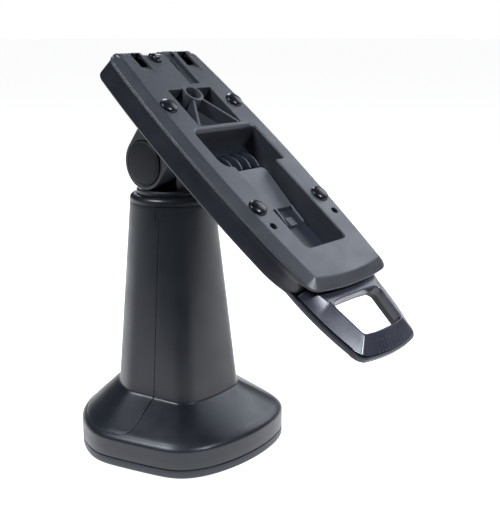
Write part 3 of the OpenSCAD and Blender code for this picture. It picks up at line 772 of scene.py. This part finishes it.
# Places on the cradle: across (u or x), down the slope (v) or up it (y), square to the face (w).
# An outline's half width falls off with the square of the way from its widest place, times bow.
Plan = namedtuple("Plan", "start end widest half bow start_r end_r bulge")
FACE_PLAN = Plan(-55.5, 158.8, 50, 46, 0.00052, 9, 7, 3.6)
TRAY_PLAN = Plan(-55.5, 153.6, 50, 46, 0.00052, 9, 5, 1.2)
CHIN_PLAN = Plan(140, 204.4, 150, 39.6, 0.0033, 2, 8, 3.6)
HANDLE_PLAN = Plan(151.8, 203, 150, 38.2, 0.0035, 2, 8, 3.4)
FACE_W = 52.2
SKIN_W = 48.7
PARTING_W = 46.7
FLOOR_W = 34.4
TRAY_W = 32.2
LEAST_CORNER_R = 0.5
CORNER_STEPS = 14
SIDE_STEPS = 40
END_STEPS = 16
SIDES = (("left", -1), ("right", 1))


def half_width(plan, inset, v):
    return plan.half - inset - plan.bow * (v - plan.widest) ** 2


def end_bulge(plan, x, width):
    return plan.bulge * (1 - (x / width) ** 2)


def right_side(plan, inset):
    """Right half of an outline as (across, down the slope), from its start to its end."""
    v0, v1 = plan.start + inset, plan.end - inset
    r0, r1 = max(plan.start_r - inset, LEAST_CORNER_R), max(plan.end_r - inset, LEAST_CORNER_R)
    c0 = half_width(plan, inset, v0 + r0) - r0
    c1 = half_width(plan, inset, v1 - r1) - r1
    width = c1 + r1
    start = [(c0 + r0 * math.sin(t), v0 + r0 - r0 * math.cos(t)) for t in arc(0, 90, CORNER_STEPS)]
    run = v1 - r1 - v0 - r0
    side = [(half_width(plan, inset, v), v)
            for v in (v0 + r0 + run * i / SIDE_STEPS for i in range(1, SIDE_STEPS))]
    corner = []
    for t in arc(0, 90, CORNER_STEPS):
        x = c1 + r1 * math.cos(t)
        corner.append((x, v1 - r1 + r1 * math.sin(t) + end_bulge(plan, x, width)))
    end = [(x, v1 + end_bulge(plan, x, width))
           for x in (c1 * (1 - i / END_STEPS) for i in range(1, END_STEPS + 1))]
    return start + side + corner + end


def whole(right):
    """A whole outline from its right half, with y up the slope."""
    return [(x, -v) for x, v in reversed(right)] + [(-x, -v) for x, v in right[:-1]]


def outline_ring(plan, inset, w):
    return [(x, y, w) for x, y in whole(right_side(plan, inset))]


def rounded_polygon(corners, offsets, steps=6):
    """A polygon through (x, y, radius) corners, each edge moved outwards by its own offset.
    Returns points as (x, y, edge place), where the place runs from one edge's number to the next
    round each corner. Anticlockwise corners; a corner that turns in is concave."""
    n = len(corners)
    ways = []
    for i in range(n):
        a, b = Vector(corners[i][:2]), Vector(corners[(i + 1) % n][:2])
        ways.append((b - a).normalized())
    points = []
    for i in range(n):
        way_in, way_out = ways[i - 1], ways[i]
        out_in = Vector((way_in.y, -way_in.x))
        out_out = Vector((way_out.y, -way_out.x))
        cross = way_in.x * way_out.y - way_in.y * way_out.x
        # where the two moved edges cross
        p = Vector(corners[i][:2]) + out_in * offsets[i - 1]
        q = Vector(corners[i][:2]) + out_out * offsets[i]
        t = ((q.x - p.x) * way_out.y - (q.y - p.y) * way_out.x) / cross
        crossing = p + way_in * t
        turn = math.atan2(cross, way_in.dot(way_out))
        inwards = 1 if turn > 0 else -1
        grow = (offsets[i - 1] + offsets[i]) / 2 * inwards
        radius = max(corners[i][2] + grow, 0.15)
        start = crossing - way_in * radius * math.tan(abs(turn) / 2)
        centre = start + Vector((-way_in.y, way_in.x)) * inwards * radius
        for k in range(steps + 1):
            place = centre + Matrix.Rotation(turn * k / steps, 2) @ (start - centre)
            points.append((place.x, place.y, i - 1 + k / steps))
    return points


def corner_ring(corners, offset, z):
    return [(x, y, z) for x, y, _ in rounded_polygon(corners, [offset] * len(corners))]


def rectangle(x0, x1, y0, y1, r):
    return ((x0, y1, r), (x0, y0, r), (x1, y0, r), (x1, y1, r))


def pillow(corners, z0, z1, edge=0.3):
    """A flat-topped piece on a rounded outline, its top edge rounded."""
    rings = [corner_ring(corners, 0, z0)]
    rings += [corner_ring(corners, edge * (math.cos(t) - 1), z1 - edge * (1 - math.sin(t)))
              for t in arc(0, 90, 4)]
    return solid(rings)


# ---- cradle cover ----

UPPER_HALF, UPPER_START, UPPER_END = 29.4, 26.3, 59.5
LOWER_HALF, LOWER_END = 20.5, 132
BRACE_HALF, BRACE_START, BRACE_END = 20.3, -13.5, 22
BRACE_FLOOR_W = 42.2
COVER_WALL = 1.2
LINER = 1.8
# Corners of the deep pocket, anticlockwise seen from the face, y up the slope, with their radii
DEEP_POCKET = (
    (-UPPER_HALF, -UPPER_START, 4), (-UPPER_HALF, -UPPER_END, 7.5), (-LOWER_HALF, -UPPER_END, 0.8),
    (-LOWER_HALF, -LOWER_END, 5), (LOWER_HALF, -LOWER_END, 3), (LOWER_HALF, -UPPER_END, 1.5),
    (UPPER_HALF, -UPPER_END, 1.5), (UPPER_HALF, -UPPER_START, 4))
# Edge i runs from corner i to the next one
DEEP_LIPS = (0.7, 0.8, 0.8, 0.9, 0.9, 0.9, 0.9, 3.3)
DEEP_DEPTHS = (34.5, 34.5, 34.5, 40.0, 34.5, 34.5, 34.5, 34.5)
BRACE_POCKET = rectangle(-BRACE_HALF, BRACE_HALF, -BRACE_END, -BRACE_START, 1)
BRACE_LIP = 0.4
RING_V = -9.1
RING_R, RING_BORE, RING_ROOM = 7.6, 5.5, 6.5
RING_STEPS = 56
SCREW_U = 31.5
SCREW_R, SCREW_RISE = 6.3, 3.0
TERMINAL_ROWS = (("upper", 1.5), ("lower", 95))
ADAPTER_ROW = 110.4
ADAPTER_HOLE_R, ADAPTER_BOSS_R, ADAPTER_BOSS_W = 2.5, 5, 42.8
# Groove and slit: across from and to, up the slope from and to
GROOVE = (4.8, 14.0, 18, 58)
GROOVE_DEPTH = 1.5
SLIT = (4.8, 8.0, 32.8, 44.2)
HOOK_SLOTS = {"left": (-25.6, -17.6), "right": (17.9, 26.8)}
HOOK_SLOT_TOP, HOOK_SLOT_END = 51.6, 39.4
HOOK_ROOM, HOOK_SKIN = 3.5, 1.3
RAMP_L, RAMP_H = 6.0, 2.2
HOOK_TABS = {"left": (-36.5, -13.6), "right": (1.6, 33.5)}
HOOK_TAB_LOW, HOOK_TAB_HIGH, HOOK_TAB_RISE = 48.2, 54.2, 0.1
# The ends of a tab: how far in from its end, and how much lower it is there
HOOK_TAB_END = ((0, 2.4), (0.4, 1.3), (1.3, 0.45), (2.6, 0.08), (4, 0))
RAILS = {"left": -16.4, "right": 28.0}
RAIL_LOW, RAIL_HIGH, RAIL_HALF, RAIL_RISE = 31.5, 49.5, 0.55, 0.45
# The stud's three round steps: across, up the slope, radius, height
STUD_STEPS = ((-8.0, 46.5, 3.4, 2.7), (-6.0, 43.4, 3.0, 2.2), (-7.4, 44.8, 4.3, 0.7))
# How far a cutter reaches past the surface that it cuts
PAST = 2


def pocket_rings(bm, corners, lips, depths, lip_steps=5):
    """The mouth and walls of a pocket: each edge with its own rounded lip and wall depth.
    Returns the rings of vertices, from the face downwards."""
    n = len(corners)

    def spread_over(values, place):
        i = math.floor(place)
        share = ease(place - i, 0, 1)
        return values[i % n] * (1 - share) + values[(i + 1) % n] * share

    rings = []
    for t in arc(0, 90, lip_steps):
        ring = rounded_polygon(corners, [lip * (1 - math.sin(t)) for lip in lips])
        rings.append([(x, y, FACE_W - spread_over(lips, e) * (1 - math.cos(t))) for x, y, e in ring])
    last = rounded_polygon(corners, [0] * n)
    for share in (0.35, 1):
        ring = []
        for x, y, e in last:
            top = FACE_W - spread_over(lips, e)
            ring.append((x, y, top + (spread_over(depths, e) - top) * share))
        rings.append(ring)
    rows = [add_ring(bm, ring) for ring in rings]
    for a, b in zip(rows, rows[1:]):
        bridge(bm, a, b)
    return rows


def adapter_hole(bm, side):
    """A hole through the face with a broken edge, and a wider bore under it."""
    r = ADAPTER_HOLE_R
    steps = ((r + 0.45, FACE_W), (r + 0.13, FACE_W - 0.1), (r, FACE_W - 0.45), (r, ADAPTER_BOSS_W),
             (ADAPTER_BOSS_R, ADAPTER_BOSS_W), (ADAPTER_BOSS_R, SKIN_W))
    return stack(bm, [circle_ring(side * SCREW_U, -ADAPTER_ROW, radius, w) for radius, w in steps])


def cover_body():
    """The face with its sloped edges, its two pockets and the hollow underside."""
    bm = bmesh.new()
    profile = [(0.5, PARTING_W + 0.05), (0.15, PARTING_W + 0.2), (0, PARTING_W + 0.5), (0, 47.55)]
    profile += curve3((0, 47.6), (0, 48.2), (0.5, 48.45), 5)
    profile += [(1.1, 48.84), (3, 50.06), (5.1, 51.38)]
    profile += curve3((5.6, 51.7), (6.4, FACE_W), (7.4, FACE_W), 5)
    outer = stack(bm, [outline_ring(FACE_PLAN, inset, w) for inset, w in profile])
    deep = pocket_rings(bm, DEEP_POCKET, DEEP_LIPS, DEEP_DEPTHS)
    brace = pocket_rings(bm, BRACE_POCKET, (BRACE_LIP,) * 4, (BRACE_FLOOR_W,) * 4, lip_steps=3)
    fill(bm, brace[-1])
    grown = rounded_polygon(DEEP_POCKET, [LINER] * len(DEEP_POCKET))
    liner = [add_ring(bm, [(x, y, v.co.z) for (x, y, _), v in zip(grown, deep[-1])]),
             add_ring(bm, [(x, y, SKIN_W) for x, y, _ in grown])]
    bridge(bm, deep[-1], liner[0])
    bridge(bm, liner[0], liner[1])
    tub_heights = (BRACE_FLOOR_W - COVER_WALL, SKIN_W)
    tub = stack(bm, [corner_ring(BRACE_POCKET, COVER_WALL, z) for z in tub_heights])
    fill(bm, tub[0])
    holes = [adapter_hole(bm, side) for _, side in SIDES]
    fill(bm, outer[-1], deep[0], brace[0], *(hole[0] for hole in holes))
    under = stack(bm, [outline_ring(TRAY_PLAN, inset, w) for inset, w in (
        (2.9, PARTING_W + 0.05), (2.9, 47.4), (5.4, SKIN_W))])
    bridge(bm, outer[0], under[0])
    fill(bm, under[-1], liner[1], tub[1], *(hole[-1] for hole in holes))
    return bm


def groove_cutter():
    return box(*GROOVE, FACE_W - GROOVE_DEPTH, FACE_W + PAST)


def hook_slot_cutters(x0, x1):
    """A slot for a hook with the ramp at its lower end, and the wider room under it."""
    low = HOOK_SLOT_END - RAMP_L
    points = ((HOOK_SLOT_TOP, FACE_W - 3), (HOOK_SLOT_TOP, FACE_W + PAST), (low, FACE_W + PAST),
              (low, FACE_W), (HOOK_SLOT_END, FACE_W - RAMP_H), (HOOK_SLOT_END, FACE_W - 3))
    slot = solid([[(x, y, z) for y, z in points] for x in (x0, x1)])
    room = box(x0, x1 + HOOK_ROOM, HOOK_SLOT_END, HOOK_SLOT_TOP, SKIN_W - 1, FACE_W - HOOK_SKIN)
    return [slot, room]


def cover_piece():
    cutters = [groove_cutter(), box(*SLIT, SKIN_W - 1, FACE_W)]
    for x0, x1 in HOOK_SLOTS.values():
        cutters += hook_slot_cutters(x0, x1)
    cutters.append(solid([circle_ring(0, -RING_V, RING_ROOM, z, RING_STEPS)
                          for z in (BRACE_FLOOR_W, FACE_W + PAST)]))
    bm = cover_body()
    for cutter in cutters:
        bm = cut(bm, cutter)
    to_object("cradle_face_cover", bm, "face_plastic", "cradle", ["cradle_cover"], even=True)


def hook_tab_piece(side):
    """A tab that carries the face over the slope at the top edge, with the hook's slot cut in it."""
    x0, x1 = HOOK_TABS[side]
    low, high = HOOK_TAB_LOW, HOOK_TAB_HIGH
    top, bottom = FACE_W + HOOK_TAB_RISE, FACE_W - 3.2
    section = [(low, bottom), (low, FACE_W + 0.03), (low + 1.0, FACE_W + 0.08)]
    section += curve3((high - 3.0, top - 0.05), (high - 1.7, top - 0.25), (high, top - 1.9), 6)
    section += [(high, bottom)]
    ends = [(x0 + run, drop) for run, drop in HOOK_TAB_END]
    ends += [(x1 - run, drop) for run, drop in reversed(HOOK_TAB_END)]
    bm = solid([[(x, y, max(z - drop, bottom)) for y, z in section] for x, drop in ends])
    bm = cut(bm, box(*HOOK_SLOTS[side], low - PAST, HOOK_SLOT_TOP, bottom - PAST, FACE_W + PAST))
    if side == "right":
        bm = cut(bm, groove_cutter())
    to_object(f"hook_tab_{side}", bm, "face_plastic", "cradle", even=True)


def groove_strip_piece():
    """A darker floor for the groove, and a deeper dark sheet in the slit as painted shade."""
    floor = FACE_W - GROOVE_DEPTH
    gap = 0.12
    left, right = GROOVE[0] + gap, GROOVE[1] - gap
    places = (
        (left, right, GROOVE[2] + 0.2, SLIT[2], 0),
        (SLIT[1], right, SLIT[2], SLIT[3], 0),
        (left, right, SLIT[3], HOOK_TAB_HIGH - 3, 0),
        # the deeper dark sheet in the slit is painted shade
        (left, SLIT[1], SLIT[2], SLIT[3], 1.4))
    strips = [box(*place, floor - 0.3 - drop, floor + 0.1 - drop) for *place, drop in places]
    to_object("groove_floor_and_slit_shade", joined(strips), "cap_plastic", "cradle")


def rail_piece(side):
    u = RAILS[side]
    corners = rectangle(u - RAIL_HALF, u + RAIL_HALF, RAIL_LOW, RAIL_HIGH, 0.5)
    bm = pillow(corners, FACE_W - 1, FACE_W + RAIL_RISE)
    to_object(f"slot_rail_{side}", bm, "face_plastic", "cradle")


def brace_piece():
    """Ring and two ribs that brace the shallow pocket."""
    floor, brim = BRACE_FLOOR_W - 0.2, FACE_W + 0.15
    profile = ((RING_BORE, floor), (RING_BORE, brim - 0.4), (RING_BORE + 0.12, brim - 0.12),
               (RING_BORE + 0.4, brim), (RING_R - 0.4, brim), (RING_R - 0.12, brim - 0.12),
               (RING_R, brim - 0.4), (RING_R, floor))
    bm = bmesh.new()
    rings = stack(bm, [circle_ring(0, -RING_V, r, z, RING_STEPS) for r, z in profile])
    bridge(bm, rings[-1], rings[0])
    to_object("brace_ring", bm, "face_plastic", "cradle")
    for name, side in SIDES:
        start, end = Vector((side * 4.2, -RING_V - 5.8)), Vector((side * 19.6, -21.8))
        way = (end - start).normalized()
        across = Vector((-way.y, way.x)) * 0.95
        corners = [start - across, end - across, end + across, start + across]
        bm = pillow([(p.x, p.y, 0.3) for p in corners], floor, FACE_W - 0.6, 0.35)
        to_object(f"brace_rib_{name}", bm, "face_plastic", "cradle")


def dome(x, y, radius, height, flange=0.35):
    """A smooth round head standing on the face."""
    profile = [(0, height)]
    profile += [(radius * 0.97 * math.sin(t), flange + (height - flange) * math.cos(t) ** 0.9)
                for t in arc(8, 84, 12)]
    profile += [(radius * 0.99, flange), (radius, flange * 0.5), (radius, 0), (0, 0)]
    bm = revolve(profile, RING_STEPS)
    bm.transform(Matrix.Translation((x, y, FACE_W)))
    return bm


def screw_pieces():
    for row, v in TERMINAL_ROWS:
        for name, side in SIDES:
            bm = dome(side * SCREW_U, -v, SCREW_R, SCREW_RISE)
            to_object(f"terminal_screw_{row}_{name}", bm, "black_screw", "cradle", ["terminal_screws"])
    stud = joined([dome(*step) for step in STUD_STEPS])
    to_object("hook_stud_heads", stud, "black_screw", "cradle", ["hook_stud"])


# ---- tray, with the chin under the handle ----

CHIN_W = 35.9
HANDLE_W, HANDLE_TOP_W = 36.3, 42.7
NECK_HALF = 18.5
# The slot in the tray's end wall for the handle's neck, and the neck, from and to up the slope
NECK_SLOT = (-165, -143)
NECK = (-163.5, -146)
CHIN_CLEARANCE = 1.2
# The chin keeps out of the tray's room: across and up the slope, from and to
CHIN_START_CUT = (-60, 60, -147, -100)
# The finger opening: half widths and places of its upper and lower end
FINGER_HALF = (24.6, 20.2)
FINGER_V = (167.0, 193.0)
FINGER_BOW = (0.9, 1.3)
# The tray is drawn in at its lower end, by this share, and its end wall leans back
SHOULDER_V = (128, 151)
SHOULDER_DRAW = 0.072
END_WALL_V = (138, 150)
END_WALL_DROP = (0.2, 4.2)
END_WALL_LEAN, END_WALL_REACH = 4.6, 1.2
FINGER_RIBS = (-14.2, -5.8, 2.7, 11.0)
RIB_V = (36.4, 56.6)
RIB_MIDDLE = (50.5, 30.6)
RIB_R, RIB_WIDE, RIB_EDGE = 15.0, 1.4, 0.25
RIB_STEPS = 16
SPRING_U = 24.0
SPRING_V = (139, 151)
SPRING_W = 40.4
SPRING_WALL, SPRING_WALL_HALF, SPRING_WALL_H = 2, 4.5, 8.5
STOP_U, STOP_HALF, STOP_H = 35, 3, 4
STOP_V = (121, 133)
POST_R = 4


def finger_corners(grow=0.0):
    """The opening of the handle, narrower towards its lower end; both its ends bow outwards."""
    top, low = -FINGER_V[0] + grow, -FINGER_V[1] - grow
    wide, narrow = FINGER_HALF[0] + grow, FINGER_HALF[1] + grow
    top_bow, low_bow = top + FINGER_BOW[0], low - FINGER_BOW[1]
    return ((-wide, top, 4), (-narrow, low, 3.2), (-narrow * 0.45, low_bow, 20),
            (narrow * 0.45, low_bow, 20), (narrow, low, 3.2), (wide, top, 4),
            (wide * 0.45, top_bow, 25), (-wide * 0.45, top_bow, 25))


def shouldered(ring):
    """Draws a ring of the tray in towards the chin at its lower end, behind a sloping end wall."""
    moved = []
    for x, y, w in ring:
        depth = min(max((PARTING_W - w) / (PARTING_W - CHIN_W), 0), 1)
        x *= 1 - SHOULDER_DRAW * ease(-y, *SHOULDER_V) * depth
        back = ease(PARTING_W - w, *END_WALL_DROP) * END_WALL_LEAN - END_WALL_REACH
        moved.append((x, y + ease(-y, *END_WALL_V) * back, w))
    return moved


def tray_piece():
    profile = [(-0.6, TRAY_W), (-1.0, TRAY_W + 0.08)]
    profile += curve3((-1.2, TRAY_W + 0.2), (-1.9, TRAY_W + 0.7), (-2.0, TRAY_W + 1.6), 4)
    profile += [(-1.5, TRAY_W + 4.2), (-0.85, TRAY_W + 7.6), (-0.25, TRAY_W + 10.3), (-0.1, TRAY_W + 11.0),
                (0.02, TRAY_W + 11.8), (0.14, TRAY_W + 12.6), (0.22, PARTING_W - 1.1)]
    profile += curve3((0.36, PARTING_W - 0.45), (0.42, PARTING_W - 0.05), (0.9, PARTING_W - 0.05), 4)
    profile += [(2.4, PARTING_W - drop) for drop in (0.05, 1.1, 2.2, 3.2, 4.3)] + [(2.4, FLOOR_W)]
    bm = solid([shouldered(outline_ring(TRAY_PLAN, inset, w)) for inset, w in profile])
    half = NECK_HALF + 1
    bm = cut(bm, box(-half, half, *NECK_SLOT, HANDLE_W + 0.1, HANDLE_TOP_W + 0.4))
    profile = ((1.0, TRAY_W), (0.3, TRAY_W + 0.25), (0, TRAY_W + 0.9), (0, CHIN_W - 0.6),
               (0.15, CHIN_W - 0.15), (0.6, CHIN_W))
    chin = solid([outline_ring(CHIN_PLAN, inset, w) for inset, w in profile])
    opening = finger_corners(CHIN_CLEARANCE)
    chin = cut(chin, solid([corner_ring(opening, 0, z) for z in (TRAY_W - PAST, CHIN_W + PAST)]))
    chin = cut(chin, box(*CHIN_START_CUT, FLOOR_W, CHIN_W + PAST))
    bm = cut(bm, chin, "UNION")
    to_object("cradle_tray_shell", bm, "tray_plastic", "cradle", ["cradle_tray"], even=True)


def finger_rib_piece(number, u):
    """A thin rib on the tray's floor with a round back."""
    low = FLOOR_W - 0.5
    points = [(-RIB_V[1], low)]
    for i in range(RIB_STEPS + 1):
        y = -RIB_V[1] + (RIB_V[1] - RIB_V[0]) * i / RIB_STEPS
        points.append((y, RIB_MIDDLE[1] + math.sqrt(RIB_R ** 2 - (y + RIB_MIDDLE[0]) ** 2)))
    points.append((-RIB_V[0], low))
    near = ((0, RIB_EDGE), (RIB_EDGE * 0.3, RIB_EDGE * 0.3), (RIB_EDGE, 0))
    places = [*near, *((RIB_WIDE - x, drop) for x, drop in reversed(near))]
    rings = [[(u + x, y, z - drop if z > low + 0.2 else z) for y, z in points] for x, drop in places]
    to_object(f"finger_rib_{number}", solid(rings), "tray_plastic", "cradle")


def stop_rings(u):
    """A block under the tray, a little smaller at its end."""
    v0, v1 = STOP_V
    return [[(u - STOP_HALF + t, t - v1, z), (u + STOP_HALF - t, t - v1, z),
             (u + STOP_HALF - t, -v0 - t, z), (u - STOP_HALF + t, -v0 - t, z)]
            for t, z in ((0, TRAY_W + 0.4), (0, TRAY_W - STOP_H + 0.6), (0.6, TRAY_W - STOP_H))]


def tray_inner_pieces():
    """What stands on the tray's floor: posts, spring walls, finger ribs and the stops below."""
    low = FLOOR_W - 0.5
    for number, u in enumerate(FINGER_RIBS, 1):
        finger_rib_piece(number, u)
    for name, side in SIDES:
        u = side * SPRING_U
        corners = rectangle(u - SPRING_WALL_HALF, u + SPRING_WALL_HALF, -SPRING_V[1] - SPRING_WALL,
                            -SPRING_V[1], 0.4)
        wall = pillow(corners, low, FLOOR_W + SPRING_WALL_H)
        to_object(f"spring_wall_{name}", wall, "tray_plastic", "cradle")
        stop = solid(stop_rings(side * STOP_U))
        to_object(f"cradle_stop_{name}", stop, "tray_plastic", "cradle")
        for row, v in TERMINAL_ROWS:
            post = solid([circle_ring(side * SCREW_U, -v, POST_R, z, 32) for z in (low, PARTING_W)])
            to_object(f"screw_post_{name}_{row}", post, "tray_plastic", "cradle")


# ---- release handle and slider ----

# The facets of the handle run from a sharp-cornered outline up to the ridge round the opening
FACET_PLAN = HANDLE_PLAN._replace(end_r=1.6)
FACET_W = 36.9
# Share of the way in to the ridge, and share of the way up
FACET_STEPS = ((0, 0), (0.3, 0.31), (0.6, 0.62), (0.9, 0.92), (0.96, 0.965), (1.0, 0.985))
RIDGE_TOP_HALF = 31.0
RIDGE_HALF = (25.6, 21.2)
RIDGE_START_V, RIDGE_KNEE_V, RIDGE_END_V = 157, 166.2, 193.6
RIDGE_BULGE = 1.5
RIDGE_CORNER_R = 0.8
HANDLE_MIDDLE_V = 178
HANDLE_SCREW_U, HANDLE_SCREW_V, HANDLE_SCREW_R = 10, 151, 3.15
GRIP_RIDGES = 9
GRIP_PITCH = 3.4
SLIDER_HALF = 16.8
SLIDER_W = 36.4
SLIDER_V = (88.5, 155)
TONGUE_V = (57.5, 90.5)
TONGUE_W = (44.2, 40.2)
SLIDER_RIBS = (-16.8, -0.7, 15.4)
EAR_U, EAR_WIDE, EAR_H = 15, 2, 7.4


def ridge_side():
    """Right half of the handle's ridge line, point for point with right_side()."""
    v0, v1 = FACET_PLAN.start, RIDGE_END_V
    points = [(RIDGE_TOP_HALF - 0.6 + 0.6 * i / CORNER_STEPS, v0 + 0.1 * i / CORNER_STEPS)
              for i in range(CORNER_STEPS + 1)]
    for i in range(1, SIDE_STEPS):
        v = v0 + 0.1 + (v1 - v0 - 1) * i / SIDE_STEPS
        upper = min(max((v - RIDGE_START_V) / (RIDGE_KNEE_V - RIDGE_START_V), 0), 1)
        lower = max((v - RIDGE_KNEE_V) / (v1 - RIDGE_KNEE_V), 0)
        points.append((RIDGE_TOP_HALF + (RIDGE_HALF[0] - RIDGE_TOP_HALF) * upper
                       + (RIDGE_HALF[1] - RIDGE_HALF[0]) * lower, v))
    half, r = RIDGE_HALF[1], RIDGE_CORNER_R
    for t in arc(0, 90, CORNER_STEPS):
        points.append((half - r + r * math.cos(t), v1 - r + r * math.sin(t)))
    for i in range(1, END_STEPS + 1):
        x = (half - r) * (1 - i / END_STEPS)
        points.append((x, v1 + RIDGE_BULGE * (1 - (x / half) ** 2)))
    return points


def facet_rings():
    """The handle's faceted body, wider than its outline below the facets."""
    outer = whole(right_side(FACET_PLAN, 0))
    wide = whole(right_side(FACET_PLAN, -1.5))
    ridge = whole(ridge_side())
    rings = [[(x, y, HANDLE_W - 1) for x, y in wide], [(x, y, FACET_W - 0.6) for x, y in wide]]
    for share, lift in FACET_STEPS:
        w = FACET_W + (HANDLE_TOP_W - FACET_W) * lift
        rings.append([((1 - share) * a[0] + share * b[0], (1 - share) * a[1] + share * b[1], w)
                      for a, b in zip(outer, ridge)])
    rings.append([(x * 0.975, y + (-HANDLE_MIDDLE_V - y) * 0.02, HANDLE_TOP_W) for x, y in ridge])
    return rings


def handle_piece():
    profile = ((0.9, HANDLE_W), (0.35, HANDLE_W + 0.12), (0.05, HANDLE_W + 0.45), (0, HANDLE_W + 0.8),
               (0, HANDLE_TOP_W + PAST))
    trim = solid([outline_ring(HANDLE_PLAN, inset, w) for inset, w in profile])
    bm = cut(solid(facet_rings()), trim, "INTERSECT")
    neck = box(-NECK_HALF, NECK_HALF, *NECK, SLIDER_W + 2, HANDLE_TOP_W - 0.4)
    bm = cut(bm, neck, "UNION")
    profile = [(0.9, HANDLE_W - 1), (0.9, HANDLE_W), (0.3, HANDLE_W + 0.25), (0, HANDLE_W + 0.9), (0, 41.7)]
    profile += curve3((0, 41.9), (0.05, 42.55), (0.8, 42.72), 4)
    profile += [(1.5, 43.6)]
    bm = cut(bm, solid([corner_ring(finger_corners(0), grow, z) for grow, z in profile]))
    for _, side in SIDES:
        bore = solid([circle_ring(side * HANDLE_SCREW_U, -HANDLE_SCREW_V, HANDLE_SCREW_R, z, 32)
                      for z in (40.5, 46)])
        bm = cut(bm, bore)
    to_object("release_loop_handle", bm, "handle_plastic", "release", ["release_handle"], even=True)


def grip_ridge_pieces():
    """Fine ridges on the sloping front bar of the handle."""
    slope = (HANDLE_TOP_W - FACET_W) / (FACET_PLAN.end - RIDGE_END_V + 2)
    for number in range(GRIP_RIDGES):
        x = (number - (GRIP_RIDGES - 1) / 2) * GRIP_PITCH
        bow = end_bulge(FACET_PLAN, x, 30)
        bm = pillow(rectangle(x - 0.5, x + 0.5, -203.4 - bow * 0.8, -197.2 - bow * 0.6, 0.45), -1, 0.32)
        for vertex in bm.verts:
            vertex.co.z += FACET_W + slope * (FACET_PLAN.end + bow + vertex.co.y)
        to_object(f"handle_grip_ridge_{number + 1}", bm, "handle_plastic", "release")


def tongue_ring(offset, drop):
    """A ring of the tongue, which slopes down from its upper end to its lower one."""
    (v0, v1), (top, low) = TONGUE_V, TONGUE_W
    corners = ((-SLIDER_HALF, -v0, 1.2), (-SLIDER_HALF, -v1, 0.5), (SLIDER_HALF, -v1, 0.5),
               (SLIDER_HALF, -v0, 4.5))
    return [(x, y, top + (low - top) * (-y - v0) / (v1 - v0) - drop)
            for x, y, _ in rounded_polygon(corners, [offset] * 4, 8)]


def slider_pieces():
    start, end = SLIDER_V
    # The bed takes the tray's near-black plastic rather than the slider's own grey: painted shade deep in the
    # pocket
    bed = box(-SLIDER_HALF, SLIDER_HALF, -end, -start, SLIDER_W + 0.1, SLIDER_W + 2)
    bed = cut(bed, box(-SLIDER_HALF, SLIDER_HALF, -start - 1.9, -start, SLIDER_W + 1, 39.6), "UNION")
    to_object("slider_bed", bed, "tray_plastic", "release", ["release_slider"])
    tongue = solid([tongue_ring(*step) for step in ((0, 1.6), (0, 0.4), (-0.1, 0.12), (-0.4, 0))])
    to_object("slider_tongue", tongue, "slider_plastic", "release", ["release_slider"], even=True)
    bottom = SLIDER_W + 1.5
    for number, u in enumerate(SLIDER_RIBS, 1):
        rings = [[(x, -104, bottom), (x, -90.2, bottom), (x, -90.2, 40.2 - d), (x, -104 + d, 39.0 - d)]
                 for x, d in ((u, 0.2), (u + 0.2, 0), (u + 1.2, 0), (u + 1.4, 0.2))]
        to_object(f"slider_rib_{number}", solid(rings), "slider_plastic", "release")
    catch = pillow(rectangle(0, 6.5, -106, -99, 0.6), bottom, SLIDER_W + 4.2)
    to_object("slider_catch", catch, "slider_plastic", "release")
    for name, side in SIDES:
        x0, x1 = sorted((side * EAR_U, side * (SPRING_U + 3.6)))
        corners = rectangle(x0, x1, -SPRING_V[0], EAR_WIDE - SPRING_V[0], 0.4)
        ear = pillow(corners, SLIDER_W, SLIDER_W + EAR_H)
        to_object(f"slider_ear_{name}", ear, "slider_plastic", "release")


# ---- springs and end caps ----

SPRING_TURNS = 6
WIRE_R, COIL_R = 0.5, 2.7
TURN_STEPS = 28
# The end cap from its middle outwards, with a ring groove, as (radius, distance from its seat)
CAP_PROFILE = (
    (0, 5.1), (4, 5.04), (8, 4.86), (12, 4.56), (13.6, 4.4), (13.9, 4.28), (14.05, 4.12), (14.2, 4.28),
    (14.45, 4.36), (15.0, 4.3), (15.3, 4.1), (15.45, 3.8), (15.5, 3.3), (15.5, 0), (13.5, 0),
    (13.5, 3), (0, 3))
CAP_SEAT = 21


def spring_piece(name, way):
    """A coil spring along the slope."""
    steps = SPRING_TURNS * TURN_STEPS
    run = SPRING_V[1] - SPRING_V[0] - 2 * WIRE_R
    rings = []
    for i in range(steps + 1):
        share = i / steps
        angle = 2 * math.pi * SPRING_TURNS * share
        spoke = Vector((math.cos(angle), 0, math.sin(angle)))
        y = -SPRING_V[0] - WIRE_R - run * share
        middle = Vector((way * SPRING_U, y, SPRING_W)) + spoke * COIL_R
        rings.append([middle + spoke * WIRE_R * math.cos(t) + Vector((0, 1, 0)) * WIRE_R * math.sin(t)
                      for t in arc(0, 315, 7)])
    node = f"spring_{name}"
    coil = to_object(f"{node}_coil", solid(rings), "fastener_steel", "cradle", [node])
    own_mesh(coil)


def end_cap_piece(name, way):
    bm = revolve(CAP_PROFILE, 96)
    turn = Matrix.Rotation(math.radians(90 * way), 4, "Y")
    bm.transform(turn @ Matrix.Translation((0, 0, CAP_SEAT)))
    to_object(f"end_cap_{name}_disc", bm, "cap_plastic", "cradle", [f"end_cap_{name}"], AXLE)


# ---- the whole object ----

column_pieces()
foot_plate_piece()
cover_piece()
for side_name, _ in SIDES:
    hook_tab_piece(side_name)
groove_strip_piece()
for side_name, _ in SIDES:
    rail_piece(side_name)
brace_piece()
screw_pieces()
tray_piece()
tray_inner_pieces()
handle_piece()
grip_ridge_pieces()
slider_pieces()
for side in SIDES:
    spring_piece(*side)
for side in SIDES:
    end_cap_piece(*side)
add_floor()
bpy.context.scene.view_settings.view_transform = "Standard"
